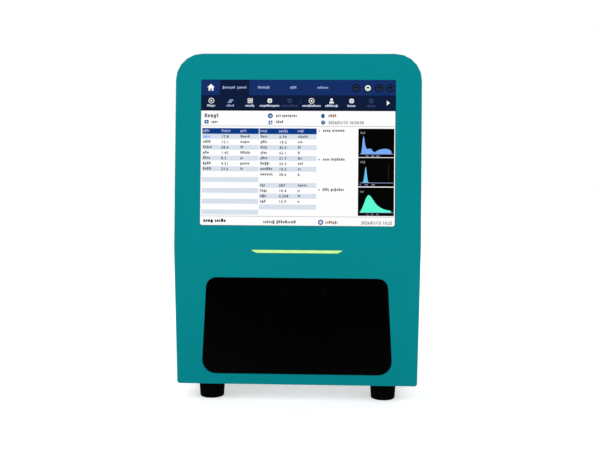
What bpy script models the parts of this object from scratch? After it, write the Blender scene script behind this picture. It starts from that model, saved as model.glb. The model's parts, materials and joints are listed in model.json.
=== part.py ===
# Bench hematology analyzer, modelled piece by piece.
#
# Metres, +Z up. The origin is on the bench, under the middle of the machine.
# The front faces -Y, and +X is on the right of someone who stands before it.
# The front cover has two flat faces that meet in a crease: the upper one leans
# back and holds the display, and the lower one runs back under the crease and
# holds the black sample bay with its sliding tray.

import math

import bmesh
import bpy
from mathutils import Matrix, Vector

# Sizes of the display and the upper face
SCREEN_WIDTH = 0.2112          # active area of a 10.4 inch display
SCREEN_HEIGHT = 0.1584
SCREEN_CORNER = 0.0015
SCREEN_SIDE_MARGIN = 0.0277    # screen to the side of the body
SCREEN_TOP_MARGIN = 0.0283     # screen to the top of the body, along the face
SCREEN_SILL = 0.0234           # crease to the lower edge of the screen
SCREEN_LIP = 0.0010            # thin rim of the cover in front of the glass
GLASS_BORDER = 0.0075
GLASS_THICKNESS = 0.0018
MODULE_SIDE_BORDER = 0.0124
MODULE_END_BORDER = 0.0092
MODULE_THICKNESS = 0.0060
BRACKET_SHEET = 0.0012
BRACKET_RIM = 0.0080
BRACKET_WINDOW = 0.0360
BOSS_RADIUS = 0.0040
BOSS_HOLE = 0.0012
BOSS_CLEARANCE = 0.0012        # display module to its bosses
UPPER_LEAN = math.radians(5.45)

# Sizes of the front cover
BEZEL_DEPTH = 0.0650
BEZEL_WALL = 0.0030
BEZEL_LIP = 0.0060             # lower return in front of the base plate
TOP_CORNER = 0.0287
BOTTOM_CORNER = 0.0030
EDGE_ROUND = 0.0014
RIB_THICKNESS = 0.0016
RIB_HEIGHT = 0.0060

# Sizes of the light bar under the crease
BAR_TOP_WIDTH = 0.0996
BAR_BOTTOM_WIDTH = 0.0878
BAR_HEIGHT = 0.0038
BAR_DROP = 0.0028              # crease to the bar
BAR_DEPTH = 0.0050
BAR_FLANGE = 0.0020
LIGHT_BOARD_HEIGHT = 0.0120
BOARD_THICKNESS = 0.0016

# Sizes of the black bay panel and the lower face
PANEL_TOP_WIDTH = 0.1971
PANEL_BOTTOM_WIDTH = 0.2119
PANEL_HEIGHT = 0.1096
PANEL_DROP = 0.0335            # crease to the panel
PANEL_SKIRT = 0.0119           # panel to the underside of the body
PANEL_TOP_CORNER = 0.0115
PANEL_BOTTOM_CORNER = 0.0150
PANEL_RECESS = 0.0004
PANEL_FLANGE = 0.0040
PANEL_FLANGE_THICKNESS = 0.0015
LOWER_UNDERCUT = math.radians(4.84)

# Sizes of the body
BODY_DEPTH = 0.3950            # crease to the rear edge
CONNECTOR_REACH = 0.0150       # fittings behind the rear edge
COVER_STEP = 0.0010            # the metal cover sits this far inside the front cover
COVER_SHEET = 0.0012
BASE_SHEET = 0.0020
BASE_FLANGE = 0.0150
REAR_SHEET = 0.0015
REAR_RECESS = 0.0020
FOOT_HEIGHT = 0.0190
FOOT_TOP_RADIUS = 0.0139
FOOT_BOTTOM_RADIUS = 0.0126
FOOT_COLLAR = 0.0052           # straight part under the base plate
FOOT_CHAMFER = 0.0015
FOOT_SIDE_MARGIN = 0.0361      # side of the body to the middle of a foot
FRONT_FOOT_SETBACK = 0.0350    # crease to the front feet
REAR_FOOT_SETBACK = 0.0300     # rear edge to the rear feet
VENT_SLOTS = 12
VENT_PITCH = 0.0080
VENT_WIDTH = 0.0030
VENT_LENGTH = 0.0320
VENT_REAR_MARGIN = 0.0260

# Sizes of the sample tray, its guide and its drive
TRAY_FRONT_WIDTH = 0.0600
TRAY_FRONT_SILL = 0.0050       # lower edge of the panel to the tray front
TRAY_FRONT_HEAD = 0.0126       # tray front to the upper edge of the panel
TRAY_FRONT_CORNER = 0.0040
TRAY_WIDTH = 0.0560
TRAY_FLOOR = 0.0040
TRAY_TRAVEL = 0.0700
TRAY_RUN_GAP = 0.0005
GUIDE_SETBACK = 0.0010         # base plate's front edge to the guide
TRAY_RIB = 0.0025
TRAY_RIB_LENGTH = 0.0160
TRAY_RIB_HEIGHT = 0.0500
TUBE_SETBACK = 0.0490          # crease to the sample tube
TUBE_BORE = 0.0068             # radius
HOLDER_WALL = 0.0048
HOLDER_HEIGHT = 0.0400
HOLDER_WINDOW = 0.0080
HOLDER_CORNER = 0.0030
TUBE_SPACE = 0.0885            # tray floor to the top of the liner
GUIDE_WALL = 0.0025
GUIDE_LIP = 0.0050
GUIDE_LIP_THICKNESS = 0.0022
LINER_WALL = 0.0020
LINER_MOTOR_GAP = 0.0020       # back of the liner to the tray's motor
NEEDLE_HOLE = 0.0080           # radius of the hole over the tube
GEAR_MODULE = 0.0015
PINION_TEETH = 12
PRESSURE_ANGLE = math.radians(20)
ADDENDUM = 0.66                # in modules
DEDENDUM = 0.90
BACKLASH = 0.0003
PINION_FACE = 0.0034
SHAFT_RADIUS = 0.0025
PINION_SETBACK = 0.0460        # sample tube to the tray's drive gear

# Sizes of the stepper motors
MOTOR_SIZE = 0.0280
MOTOR_LENGTH = 0.0280
MOTOR_CORNER = 0.0030
MOTOR_BAND = 0.0006            # how far the motor's middle lies inside its end caps
MOTOR_CAP = 0.0056             # length of an end cap
MOTOR_BORE_DEPTH = 0.0168
MOTOR_PLATE_GAP = 0.0050       # tray guide to the motor's plate
PLATE_SHEET = 0.0020

# Sizes of the inner plate and the probe drive
PARTITION_OFFSET = 0.0620      # middle of the machine to the inner plate
PARTITION_HEADROOM = 0.0300
PARTITION_REAR_ROOM = 0.0212   # inner plate to the fan
PARTITION_FLANGE = 0.0120
WINDOW_WIDTH = 0.0360
WINDOW_HEIGHT = 0.0600
WINDOW_CORNER = 0.0060
PROBE_ROW_LENGTH = 0.1300      # travel from the tube to the last bath
BATH_SPACING = 0.0460
RAIL_WIDTH = 0.0120
RAIL_THICKNESS = 0.0070
RAIL_GROOVE = 0.0010
RAIL_RISE = 0.0100             # drive gear of the probe to the rail's middle
RAIL_END_ROOM = 0.0040
CARRIAGE_LENGTH = 0.0240
CARRIAGE_WALL = 0.0050
CARRIAGE_BACK_GAP = 0.0035     # carriage to the inner plate
CLAMP_LENGTH = 0.0060
COLUMN_THICKNESS = 0.0030
CHANNEL_WALL = 0.0030
CHANNEL_HEIGHT = 0.0400
FOOT_ARM_THICKNESS = 0.0030
WASH_CLEARANCE = 0.0030        # top of the liner to the wash block's arm
WASH_SIZE = 0.0160
WASH_HEIGHT = 0.0100
WASH_HOLE = 0.0030             # radius of the hole under the wash block
TIP_RECESS = 0.0010            # underside of the wash block's seat to the raised tip
ARM_STOP_GAP = 0.0020          # wash block to the lowered arm
BAR_FLOOR_GAP = 0.0040         # baths to the lowered rack bar
NEEDLE_FLOOR_GAP = 0.0115      # tray floor to the lowered needle
PROBE_RADIUS = 0.0008
PROBE_HUB_RADIUS = 0.0030
PROBE_HUB_LENGTH = 0.0080
ARM_THICKNESS = 0.0100
ARM_WIDTH = 0.0120
RACK_BAR = 0.0060
RACK_BAR_WIDTH = 0.0080
BELT_WIDTH = 0.0060
BELT_THICKNESS = 0.0014
BELT_RUN_GAP = 0.0010          # carriage to the pulleys' cheeks
PULLEY_RADIUS = 0.0080
PULLEY_FLANGE = 0.0020
PULLEY_CHEEK = 0.0010
PULLEY_GAP = 0.0020
IDLER_SHAFT_END = 0.0010       # idler's shaft behind the inner plate

# Sizes of the baths
BATH_RADIUS = 0.0140
BATH_WALL = 0.0025
BATH_FLANGE = 0.0030
BATH_FLOOR_GAP = 0.0030        # lowered needle to the bath's floor
BATH_CONE = 0.0040
BATH_DRAIN_RADIUS = 0.0025
BATH_DRAIN_LENGTH = 0.0090
BATH_DRAIN_BORE = 0.0012
BATH_HEADROOM = 0.0260         # bath to the wash block's arm
BATH_PLATE_MARGIN = 0.0060

# Sizes of the syringes
SYRINGE_GAP_BEHIND_BATHS = 0.0760
SYRINGE_SPACING = 0.0450
SYRINGE_BARREL_LENGTH = 0.0700
DILUENT_BORE = 0.0070
SAMPLE_BORE = 0.0040
GLASS_WALL = 0.0020
SYRINGE_STROKE = 0.0400
SYRINGE_ROD_RADIUS = 0.0025
PISTON_LENGTH = 0.0120
SYRINGE_SHELF_Z = 0.1900
SYRINGE_SHELF_SPACING = 0.0780
SYRINGE_STANDOFF = 0.0200      # inner plate to the syringes' axes

# Sizes of the valve block, the pump and the bottle
MANIFOLD_FRONT_ROOM = 0.0100   # tray's motor to the valve block
MANIFOLD_REAR_ROOM = 0.0220    # valve block to the syringes' first motor
MANIFOLD_HEIGHT = 0.0400
MANIFOLD_THICKNESS = 0.0120
MANIFOLD_Z = 0.0520
VALVES = 4
VALVE_RADIUS = 0.0080
VALVE_LENGTH = 0.0230
PUMP_RADIUS = 0.0170
PUMP_LENGTH = 0.0480
PUMP_HEAD_SIZE = 0.0420
PUMP_HEAD_LENGTH = 0.0220
PUMP_OFFSET = 0.0450
PUMP_REAR_MARGIN = 0.0500
BOTTLE_WIDTH = 0.0460
BOTTLE_LENGTH = 0.0700
BOTTLE_HEIGHT = 0.1000
BOTTLE_CORNER = 0.0100
BOTTLE_NECK_RADIUS = 0.0110
BOTTLE_NECK_HEIGHT = 0.0100
BOTTLE_SIDE_MARGIN = 0.0120
BOTTLE_SETBACK = 0.1100        # crease to the front of the bottle
CAP_RADIUS = 0.0155
CAP_HEIGHT = 0.0170
CAP_RIBS = 10

# Sizes of the electronics
MAIN_BOARD_LENGTH = 0.1500
MAIN_BOARD_Z = 0.0850
MAIN_BOARD_SETBACK = 0.0900    # crease to the board
STANDOFF_LENGTH = 0.0070
STANDOFF_RADIUS = 0.0030
SUPPLY_SIDE_ROOM = 0.0080      # inner plate, and base flange, to the power supply
SUPPLY_LENGTH = 0.1150
SUPPLY_HEIGHT = 0.0480
SUPPLY_REAR_MARGIN = 0.0450
COMPONENT_HEIGHT = 0.0120      # tallest component on the board

# Sizes of the service door on the left side
DOOR_LENGTH = 0.1600
DOOR_HEIGHT = 0.2400
DOOR_SETBACK = 0.0900          # crease to the door
DOOR_RISE = 0.0450             # underside of the body to the door
DOOR_CORNER = 0.0040
DOOR_GAP = 0.0005
DOOR_RIM = 0.0070
DOOR_RIM_INSET = 0.0020
HINGE_INSET = 0.0010           # cover's outer face to the hinge axis
HINGE_RADIUS = 0.0019
HINGE_PIN_RADIUS = 0.0008
HINGE_LENGTH = 0.0240
HINGE_MARGIN = 0.0300
HINGE_EDGE_GAP = 0.0020
HINGE_LEAF = 0.0140
GRIP_LENGTH = 0.0300
GRIP_WIDTH = 0.0100
GRIP_DEPTH = 0.0050

# Sizes of the fittings on the rear panel
FITTING_MARGIN = 0.0091        # cover's inner face to the fan
FAN_SIZE = 0.0600
FAN_THICKNESS = 0.0150
FAN_Z = 0.2700
FAN_RING = 0.0030
FAN_HUB_RADIUS = 0.0110
FAN_BLADES = 7
FAN_TIP_GAP = 0.0010
FAN_STRUT = 0.0030
FAN_STUB_LENGTH = 0.0090       # front of the fan to the end of its stub shaft
GUARD_WIRE = 0.0008
INLET_Z = 0.0580
INLET_WIDTH = 0.0276
INLET_HEIGHT = 0.0200
INLET_FLANGE = 0.0480
INLET_DEPTH = 0.0200
INLET_WALL = 0.0020
INLET_CORNER = 0.0050
INLET_PIN_WIDTH = 0.0020
INLET_PIN_HEIGHT = 0.0040
SWITCH_RISE = 0.0320           # inlet to the switch
SWITCH_WIDTH = 0.0250
SWITCH_HEIGHT = 0.0180
SWITCH_RIM = 0.0020
SWITCH_DEPTH = 0.0140
SWITCH_PIVOT_DEPTH = 0.0010    # rear panel's face to the rocker's pin
SWITCH_TILT = math.radians(10)
PORT_SETOFF = 0.0550
PORT_Z = 0.0650
PORTS = 3
PORT_SPACING = 0.0240
PORT_RADIUS = 0.0060
PORT_BARB_RADIUS = 0.0036
PORT_NECK_RADIUS = 0.0025
PORT_BORE = 0.0015
PORT_PLATE_HEIGHT = 0.0240
PORT_PLATE = 0.0030
DATA_RISE = 0.0700             # inlet to the data sockets
DATA_WIDTH = 0.0560
DATA_HEIGHT = 0.0180
DATA_DEPTH = 0.0180
DATA_SOCKETS = 3

# Clearance between pieces that touch, and how finely round pieces are divided
GAP = 0.0003
SINK = 0.0005                  # how far fused shapes reach into each other
SIDES = 24
SMALL_SIDES = 16
ARC_STEPS = 5

# Places that follow from the sizes
HALF_WIDTH = SCREEN_WIDTH / 2 + SCREEN_SIDE_MARGIN
LOWER_LENGTH = PANEL_DROP + PANEL_HEIGHT + PANEL_SKIRT
UPPER_LENGTH = SCREEN_SILL + SCREEN_HEIGHT + SCREEN_TOP_MARGIN
CREASE_Y = -(BODY_DEPTH + CONNECTOR_REACH) / 2
CREASE_Z = FOOT_HEIGHT + LOWER_LENGTH * math.cos(LOWER_UNDERCUT)
TOP_Z = CREASE_Z + UPPER_LENGTH * math.cos(UPPER_LEAN)
BOTTOM_Z = FOOT_HEIGHT
REAR_Y = CREASE_Y + BODY_DEPTH
BEZEL_BACK = CREASE_Y + BEZEL_DEPTH
BASE_TOP = BOTTOM_Z + BASE_SHEET
COVER_HALF = HALF_WIDTH - COVER_STEP
COVER_INNER = COVER_HALF - COVER_SHEET
COVER_TOP = TOP_Z - COVER_STEP
REAR_FACE = REAR_Y - REAR_RECESS
REAR_INNER = REAR_FACE - REAR_SHEET
BASE_HALF = HALF_WIDTH - BEZEL_WALL - GAP
FOOT_X = HALF_WIDTH - FOOT_SIDE_MARGIN

UPPER_FACE = Matrix.Translation((0, CREASE_Y, CREASE_Z)) @ Matrix.Rotation(-UPPER_LEAN, 4, "X")
LOWER_FACE = Matrix.Translation((0, CREASE_Y, CREASE_Z)) @ Matrix.Rotation(LOWER_UNDERCUT, 4, "X")
WORLD = Matrix.Identity(4)

# An outline drawn in one of these planes is pushed out along the third axis
PLANES = {
    "Z": Matrix.Identity(4),
    "Y": Matrix.Rotation(math.radians(90), 4, "X"),
    "X": Matrix(((0, 0, 1, 0), (1, 0, 0, 0), (0, 1, 0, 0), (0, 0, 0, 1))),
}
TURNED_AXES = {
    "Z": Matrix.Identity(4),
    "Y": Matrix.Rotation(math.radians(-90), 4, "X"),
    "X": Matrix.Rotation(math.radians(90), 4, "Y"),
}


# Materials

def surface(name, colour, roughness, metallic=0.0):
    """A Principled BSDF with one colour."""
    made = bpy.data.materials.new(name)
    made.use_nodes = True
    shader = made.node_tree.nodes["Principled BSDF"]
    shader.inputs["Base Color"].default_value = (*colour, 1.0)
    shader.inputs["Roughness"].default_value = roughness
    shader.inputs["Metallic"].default_value = metallic
    made.diffuse_color = (*colour, 1.0)
    return made


# Shapes

def round_corners(corners, steps=ARC_STEPS):
    """An outline through corners (x, y, radius), with an arc at each radius."""
    points = []
    for index, (x, y, radius) in enumerate(corners):
        corner = Vector((x, y))
        if radius <= 0:
            points.append(corner)
            continue
        back = (Vector(corners[index - 1][:2]) - corner).normalized()
        ahead = (Vector(corners[(index + 1) % len(corners)][:2]) - corner).normalized()
        half = back.angle(ahead) / 2
        centre = corner + (back + ahead).normalized() * radius / math.sin(half)
        first = corner + back * radius / math.tan(half) - centre
        last = corner + ahead * radius / math.tan(half) - centre
        turn = first.angle_signed(last)
        for step in range(steps + 1):
            spin = Matrix.Rotation(-turn * step / steps, 2)
            points.append(centre + spin @ first)
    return points


def rectangle(x_low, x_high, y_low, y_high, radius=0.0, steps=2):
    """A rectangular outline, with equal corner radii."""
    corners = ((x_low, y_low), (x_high, y_low), (x_high, y_high), (x_low, y_high))
    return round_corners([(x, y, radius) for x, y in corners], steps)


def circle(x, y, radius, sides=SIDES):
    """A round outline."""
    angles = [math.tau * step / sides for step in range(sides)]
    return [Vector((x + radius * math.cos(a), y + radius * math.sin(a))) for a in angles]


def add_mesh(name, mesh, place):
    """An object in the scene, at its place."""
    made = bpy.data.objects.new(name, mesh)
    made.matrix_world = place
    parts.objects.link(made)
    return made


def slab(name, loops, low, high, along="Y", face=WORLD):
    """A flat outline with holes, pushed out from low to high along an axis."""
    curve = bpy.data.curves.new(name, "CURVE")
    curve.dimensions = "2D"
    curve.fill_mode = "BOTH"
    curve.extrude = abs(high - low) / 2
    for loop in loops:
        spline = curve.splines.new("POLY")
        spline.points.add(len(loop) - 1)
        for point, (x, y) in zip(spline.points, loop):
            point.co = (x, y, 0, 1)
        spline.use_cyclic_u = True
    draft = bpy.data.objects.new(name, curve)
    parts.objects.link(draft)
    bpy.context.view_layer.update()
    mesh = bpy.data.meshes.new_from_object(draft.evaluated_get(bpy.context.evaluated_depsgraph_get()))
    bpy.data.objects.remove(draft)
    work = bmesh.new()
    work.from_mesh(mesh)
    bmesh.ops.remove_doubles(work, verts=work.verts, dist=1e-6)
    bmesh.ops.dissolve_limit(work, angle_limit=1e-4, verts=work.verts, edges=work.edges)
    bmesh.ops.recalc_face_normals(work, faces=work.faces)
    work.to_mesh(mesh)
    work.free()
    middle = (low + high) / 2
    reach = -middle if along == "Y" else middle
    return add_mesh(name, mesh, face @ PLANES[along] @ Matrix.Translation((0, 0, reach)))


def block(name, low, high, face=WORLD):
    """A box between two corners."""
    low, high = Vector(low), Vector(high)
    size = high - low
    mesh = bpy.data.meshes.new(name)
    work = bmesh.new()
    bmesh.ops.create_cube(work, size=1.0, matrix=Matrix.Diagonal((*size, 1.0)))
    work.to_mesh(mesh)
    work.free()
    return add_mesh(name, mesh, face @ Matrix.Translation((low + high) / 2))


def rod(name, start, end, radius, sides=SMALL_SIDES, face=WORLD):
    """A round bar."""
    start, end = Vector(start), Vector(end)
    line = end - start
    mesh = bpy.data.meshes.new(name)
    work = bmesh.new()
    bmesh.ops.create_cone(work, cap_ends=True, segments=sides, radius1=radius, radius2=radius,
                          depth=line.length)
    work.to_mesh(mesh)
    work.free()
    smooth(mesh)
    turn = line.to_track_quat("Z", "Y").to_matrix().to_4x4()
    return add_mesh(name, mesh, face @ Matrix.Translation((start + end) / 2) @ turn)


def turned(name, profile, centre, along="Z", sides=SIDES):
    """A lathe shape. The profile runs down the outer side, from top to bottom."""
    mesh = bpy.data.meshes.new(name)
    points = [(radius, 0, height) for radius, height in profile]
    edges = [(index, index + 1) for index in range(len(points) - 1)]
    if profile[0][0] > 0:
        edges.append((len(points) - 1, 0))
    mesh.from_pydata(points, edges, [])
    made = add_mesh(name, mesh, Matrix.Translation(centre) @ TURNED_AXES[along])
    screw = made.modifiers.new("lathe", "SCREW")
    screw.steps = screw.render_steps = sides
    screw.use_merge_vertices = True
    screw.merge_threshold = 1e-5
    return made


def smooth(mesh):
    """Round sides are shaded smooth, and corners stay sharp."""
    mesh.shade_smooth()
    mesh.set_sharp_from_angle(angle=math.radians(35))


def use_as_tool(tool):
    """A cutter or a filler is kept apart from the parts."""
    parts.objects.unlink(tool)
    cutters.objects.link(tool)
    tool.hide_render = True
    tool.display_type = "WIRE"


def boolean(target, tools, operation):
    for tool in tools:
        use_as_tool(tool)
        step = target.modifiers.new(operation.lower(), "BOOLEAN")
        step.operation = operation
        step.object = tool
        step.solver = "EXACT"
    return target


def cut(target, *tools):
    return boolean(target, tools, "DIFFERENCE")


def fuse(target, *tools):
    return boolean(target, tools, "UNION")


def keep(target, *tools):
    return boolean(target, tools, "INTERSECT")


def finish(made, material, body=None):
    """Gives a part its material, and hangs it on the empty that moves it."""
    made.data.materials.clear()
    made.data.materials.append(material)
    if body is not None:
        made.parent = body
        made.matrix_parent_inverse = body.matrix_world.inverted()
    return made


def axis_empty(name, place, parent=None):
    """An empty on a joint's axis, which carries the pieces that move together."""
    made = bpy.data.objects.new(name, None)
    made.empty_display_size = 0.02
    made.matrix_world = Matrix.Translation(place)
    parts.objects.link(made)
    bpy.context.view_layer.update()
    if parent is not None:
        made.parent = parent
        made.matrix_parent_inverse = parent.matrix_world.inverted()
        bpy.context.view_layer.update()
    return made


def face_point(face, depth, rise):
    """World y and z of a point that lies some way behind a face and up along it."""
    point = face @ Vector((0, depth, rise))
    return point.y, point.z


# Gears

PITCH = math.pi * GEAR_MODULE
PINION_PITCH_RADIUS = GEAR_MODULE * PINION_TEETH / 2
TOOTH_TIP = ADDENDUM * GEAR_MODULE
TOOTH_ROOT = DEDENDUM * GEAR_MODULE
PINION_OUTER = PINION_PITCH_RADIUS + TOOTH_TIP


def rack_teeth(pinion_place, low, high):
    """Points of a toothed edge along y, as (distance from the pitch line, y)."""
    slope = math.tan(PRESSURE_ANGLE)
    half = PITCH / 4 - BACKLASH / 2
    first = math.ceil((low + PITCH / 2 - pinion_place) / PITCH - 0.5)
    last = math.floor((high - PITCH / 2 - pinion_place) / PITCH - 0.5)
    points = []
    for tooth in range(first, last + 1):
        middle = pinion_place + (tooth + 0.5) * PITCH
        root = half + TOOTH_ROOT * slope
        tip = half - TOOTH_TIP * slope
        points += [(-TOOTH_ROOT, middle - root), (TOOTH_TIP, middle - tip),
                   (TOOTH_TIP, middle + tip), (-TOOTH_ROOT, middle + root)]
    return points


def pinion_outline(facing):
    """Involute teeth around the origin. One of them points at the rack."""
    base = PINION_PITCH_RADIUS * math.cos(PRESSURE_ANGLE)
    root = PINION_PITCH_RADIUS - TOOTH_ROOT

    def involute(radius):
        angle = math.acos(min(1.0, base / radius))
        return math.tan(angle) - angle

    half = math.pi / (2 * PINION_TEETH) - BACKLASH / (2 * PINION_PITCH_RADIUS)
    flank = [(root, half + involute(PINION_PITCH_RADIUS))]
    for radius in (PINION_PITCH_RADIUS, PINION_OUTER):
        flank.append((radius, half + involute(PINION_PITCH_RADIUS) - involute(radius)))
    points = []
    for tooth in range(PINION_TEETH):
        centre = facing + math.tau * tooth / PINION_TEETH
        for radius, angle in flank:
            points.append(Vector((radius * math.cos(centre - angle), radius * math.sin(centre - angle))))
        for radius, angle in reversed(flank):
            points.append(Vector((radius * math.cos(centre + angle), radius * math.sin(centre + angle))))
    return points


def moved(outline, x, y):
    return [Vector((point[0] + x, point[1] + y)) for point in outline]


def stepper(name, x, y, z, along, toward, through=False):
    """A square stepper motor: two end caps and a stack of sheets that lies a little inside them.

    Its mounting face is at the point, and its body runs toward + or -.
    """
    half = MOTOR_SIZE / 2
    ends = sorted((0, toward * MOTOR_LENGTH))
    place = Matrix.Translation((x, y, z))
    body = slab(name, [rectangle(-half, half, -half, half, MOTOR_CORNER, 1)], *ends, along, place)
    axis = {"X": Vector((1, 0, 0)), "Y": Vector((0, 1, 0)), "Z": Vector((0, 0, 1))}[along]
    centre = Vector((x, y, z))
    stack = half - MOTOR_BAND
    groove = slab(name + "_groove", [rectangle(-MOTOR_SIZE, MOTOR_SIZE, -MOTOR_SIZE, MOTOR_SIZE),
                                     rectangle(-stack, stack, -stack, stack, MOTOR_CORNER, 1)],
                  *sorted((toward * MOTOR_CAP, toward * (MOTOR_LENGTH - MOTOR_CAP))), along, place)
    cut(body, groove)
    depth = MOTOR_LENGTH + THROUGH if through else MOTOR_BORE_DEPTH
    hole = rod(name + "_bore", centre - axis * toward * MOTOR_LENGTH, centre + axis * toward * depth,
               SHAFT_RADIUS + GAP, 12)
    return cut(body, hole)


# Outlines of the body, the panel and the light bar

def body_outline(inset):
    """Front view of the body, set in from its outside."""
    half = HALF_WIDTH - inset
    low, high = BOTTOM_Z + inset, TOP_Z - inset
    foot = max(BOTTOM_CORNER - inset, 0)
    top = TOP_CORNER - inset
    return round_corners([(-half, low, foot), (half, low, foot), (half, high, top), (-half, high, top)])


def front_profile(depth, reach):
    """Side view of the space behind both front faces, from some depth behind them."""
    upper = Vector((math.cos(UPPER_LEAN), -math.sin(UPPER_LEAN)))
    lower = Vector((math.cos(LOWER_UNDERCUT), math.sin(LOWER_UNDERCUT)))
    crease = Vector((CREASE_Y, CREASE_Z)) + depth * (upper + lower) / (1 + upper.dot(lower))
    low, high, back = BOTTOM_Z - reach, TOP_Z + reach, BEZEL_BACK + reach
    foot_y = crease.y - low
    return [Vector((crease.x + foot_y * math.tan(LOWER_UNDERCUT), low)), Vector((back, low)),
            Vector((back, high)),
            Vector((crease.x + (high - crease.y) * math.tan(UPPER_LEAN), high)), crease]


def screen_outline(side, end, corner=0.0):
    """The screen's outline on the upper face, larger by a border at its sides and ends."""
    half = SCREEN_WIDTH / 2 + side
    return rectangle(-half, half, SCREEN_SILL - end, SCREEN_SILL + SCREEN_HEIGHT + end, corner)


def panel_outline(grow):
    """The bay panel's outline on the lower face."""
    low = -(PANEL_DROP + PANEL_HEIGHT) - grow
    high = -PANEL_DROP + grow
    bottom = PANEL_BOTTOM_WIDTH / 2 + grow
    top = PANEL_TOP_WIDTH / 2 + grow
    low_corner, high_corner = PANEL_BOTTOM_CORNER + grow, PANEL_TOP_CORNER + grow
    return round_corners([(-bottom, low, low_corner), (bottom, low, low_corner),
                          (top, high, high_corner), (-top, high, high_corner)])


def bar_outline(grow):
    """The light bar's outline on the lower face, with its slanted ends."""
    high, low = -BAR_DROP + grow, -BAR_DROP - BAR_HEIGHT - grow
    top, bottom = BAR_TOP_WIDTH / 2 + 2 * grow, BAR_BOTTOM_WIDTH / 2 + 2 * grow
    return [Vector((-bottom, low)), Vector((bottom, low)), Vector((top, high)), Vector((-top, high))]


# Depths behind the two faces
GLASS_FRONT = SCREEN_LIP + GAP
GLASS_BACK = GLASS_FRONT + GLASS_THICKNESS
MODULE_FRONT = max(BEZEL_WALL, GLASS_BACK) + GAP
BRACKET_FRONT = MODULE_FRONT + MODULE_THICKNESS + GAP
BOSS_X = SCREEN_WIDTH / 2 + MODULE_SIDE_BORDER + BOSS_CLEARANCE + BOSS_RADIUS
BOSS_RISES = (SCREEN_SILL, SCREEN_SILL + SCREEN_HEIGHT)
PANEL_BACK = BEZEL_WALL + GAP + PANEL_FLANGE_THICKNESS
THROUGH = 0.0200               # how far a cutter reaches out of what it cuts

# Places along the depth of the machine
LIP_BACK = face_point(LOWER_FACE, 0, -LOWER_LENGTH)[0] + BEZEL_LIP
BASE_FRONT = LIP_BACK + GAP
TUBE_Y = CREASE_Y + TUBE_SETBACK
PINION_Y = TUBE_Y + PINION_SETBACK
TRAY_REAR = PINION_Y + TRAY_TRAVEL + 1.5 * PITCH
GUIDE_FRONT = BASE_FRONT + GUIDE_SETBACK
BAR_Y = TUBE_Y + ARM_WIDTH / 2 + GAP
LINER_BACK = PINION_Y - MOTOR_SIZE / 2 - LINER_MOTOR_GAP

# Heights of the tray, the liner and the needle's parts
TRAY_FRONT_LOW = -(PANEL_DROP + PANEL_HEIGHT) + TRAY_FRONT_SILL
TRAY_FRONT_HIGH = -PANEL_DROP - TRAY_FRONT_HEAD
TRAY_Z = face_point(LOWER_FACE, PANEL_BACK, TRAY_FRONT_LOW)[1] + TRAY_RUN_GAP
TRAY_TOP = TRAY_Z + TRAY_FLOOR
GUIDE_TOP = TRAY_Z - GAP
LIP_UNDER = TRAY_TOP + GAP
LIP_TOP = LIP_UNDER + GUIDE_LIP_THICKNESS
TRAY_PITCH_X = TRAY_WIDTH / 2 + TOOTH_ROOT
PINION_X = TRAY_PITCH_X + PINION_PITCH_RADIUS
GUIDE_LEFT = -TRAY_WIDTH / 2 - GAP
GUIDE_RIGHT = TRAY_PITCH_X + TOOTH_TIP + 2 * GAP
LINER_TOP = TRAY_TOP + TUBE_SPACE
FOOT_ARM_Z = LINER_TOP + WASH_CLEARANCE
WASH_Z = FOOT_ARM_Z + FOOT_ARM_THICKNESS + GAP
WASH_TOP = WASH_Z + WASH_HEIGHT
TIP_Z = FOOT_ARM_Z + FOOT_ARM_THICKNESS + TIP_RECESS
TIP_LOW = TRAY_TOP + NEEDLE_FLOOR_GAP
PROBE_TRAVEL = TIP_Z - TIP_LOW
ARM_Z = WASH_TOP + PROBE_TRAVEL + ARM_STOP_GAP
BATH_TOP = FOOT_ARM_Z - BATH_HEADROOM
BAR_LOW = BATH_TOP + BAR_FLOOR_GAP + PROBE_TRAVEL
BAR_LENGTH = PROBE_TRAVEL + 4 * PITCH
PROBE_PINION_Z = BAR_LOW + 2 * PITCH

# Places across the machine, beside the inner plate
PARTITION_X = PARTITION_OFFSET
PARTITION_RIGHT = PARTITION_X + PLATE_SHEET
PARTITION_FRONT = TUBE_Y - CARRIAGE_LENGTH / 2 - RAIL_END_ROOM
PARTITION_TOP = COVER_TOP - COVER_SHEET - PARTITION_HEADROOM
SEAT_X = PARTITION_X - GAP
RAIL_LEFT = SEAT_X - RAIL_THICKNESS
RAIL_Z = PROBE_PINION_Z + RAIL_RISE
CARRIAGE_LEFT = RAIL_LEFT - GAP - CARRIAGE_WALL
CARRIAGE_RIGHT = PARTITION_X - CARRIAGE_BACK_GAP
CARRIAGE_TOP = RAIL_Z + RAIL_WIDTH / 2 + GAP + CARRIAGE_WALL
CARRIAGE_LOW = RAIL_Z - RAIL_WIDTH / 2 - GAP - CARRIAGE_WALL
COLUMN_LEFT = CARRIAGE_LEFT - COLUMN_THICKNESS + SINK
BAR_BACK = COLUMN_LEFT - GAP
BAR_FRONT = BAR_BACK - RACK_BAR
PROBE_PITCH_X = BAR_FRONT - TOOTH_ROOT
PROBE_PINION_X = PROBE_PITCH_X - PINION_PITCH_RADIUS
CHANNEL_Y = RACK_BAR_WIDTH / 2 + GAP
PROBE_PLATE_Y = BAR_Y + CHANNEL_Y + CHANNEL_WALL - SINK
CARRIAGE_FRONT = BAR_Y - CARRIAGE_LENGTH / 2
CARRIAGE_REAR = BAR_Y + CARRIAGE_LENGTH / 2
RAIL_FRONT = CARRIAGE_FRONT - RAIL_END_ROOM
RAIL_REAR = CARRIAGE_REAR + PROBE_ROW_LENGTH + RAIL_END_ROOM
PULLEY_OUTER = PULLEY_RADIUS + PULLEY_FLANGE
BELT_Z = CARRIAGE_TOP + BELT_RUN_GAP + PULLEY_OUTER
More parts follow.
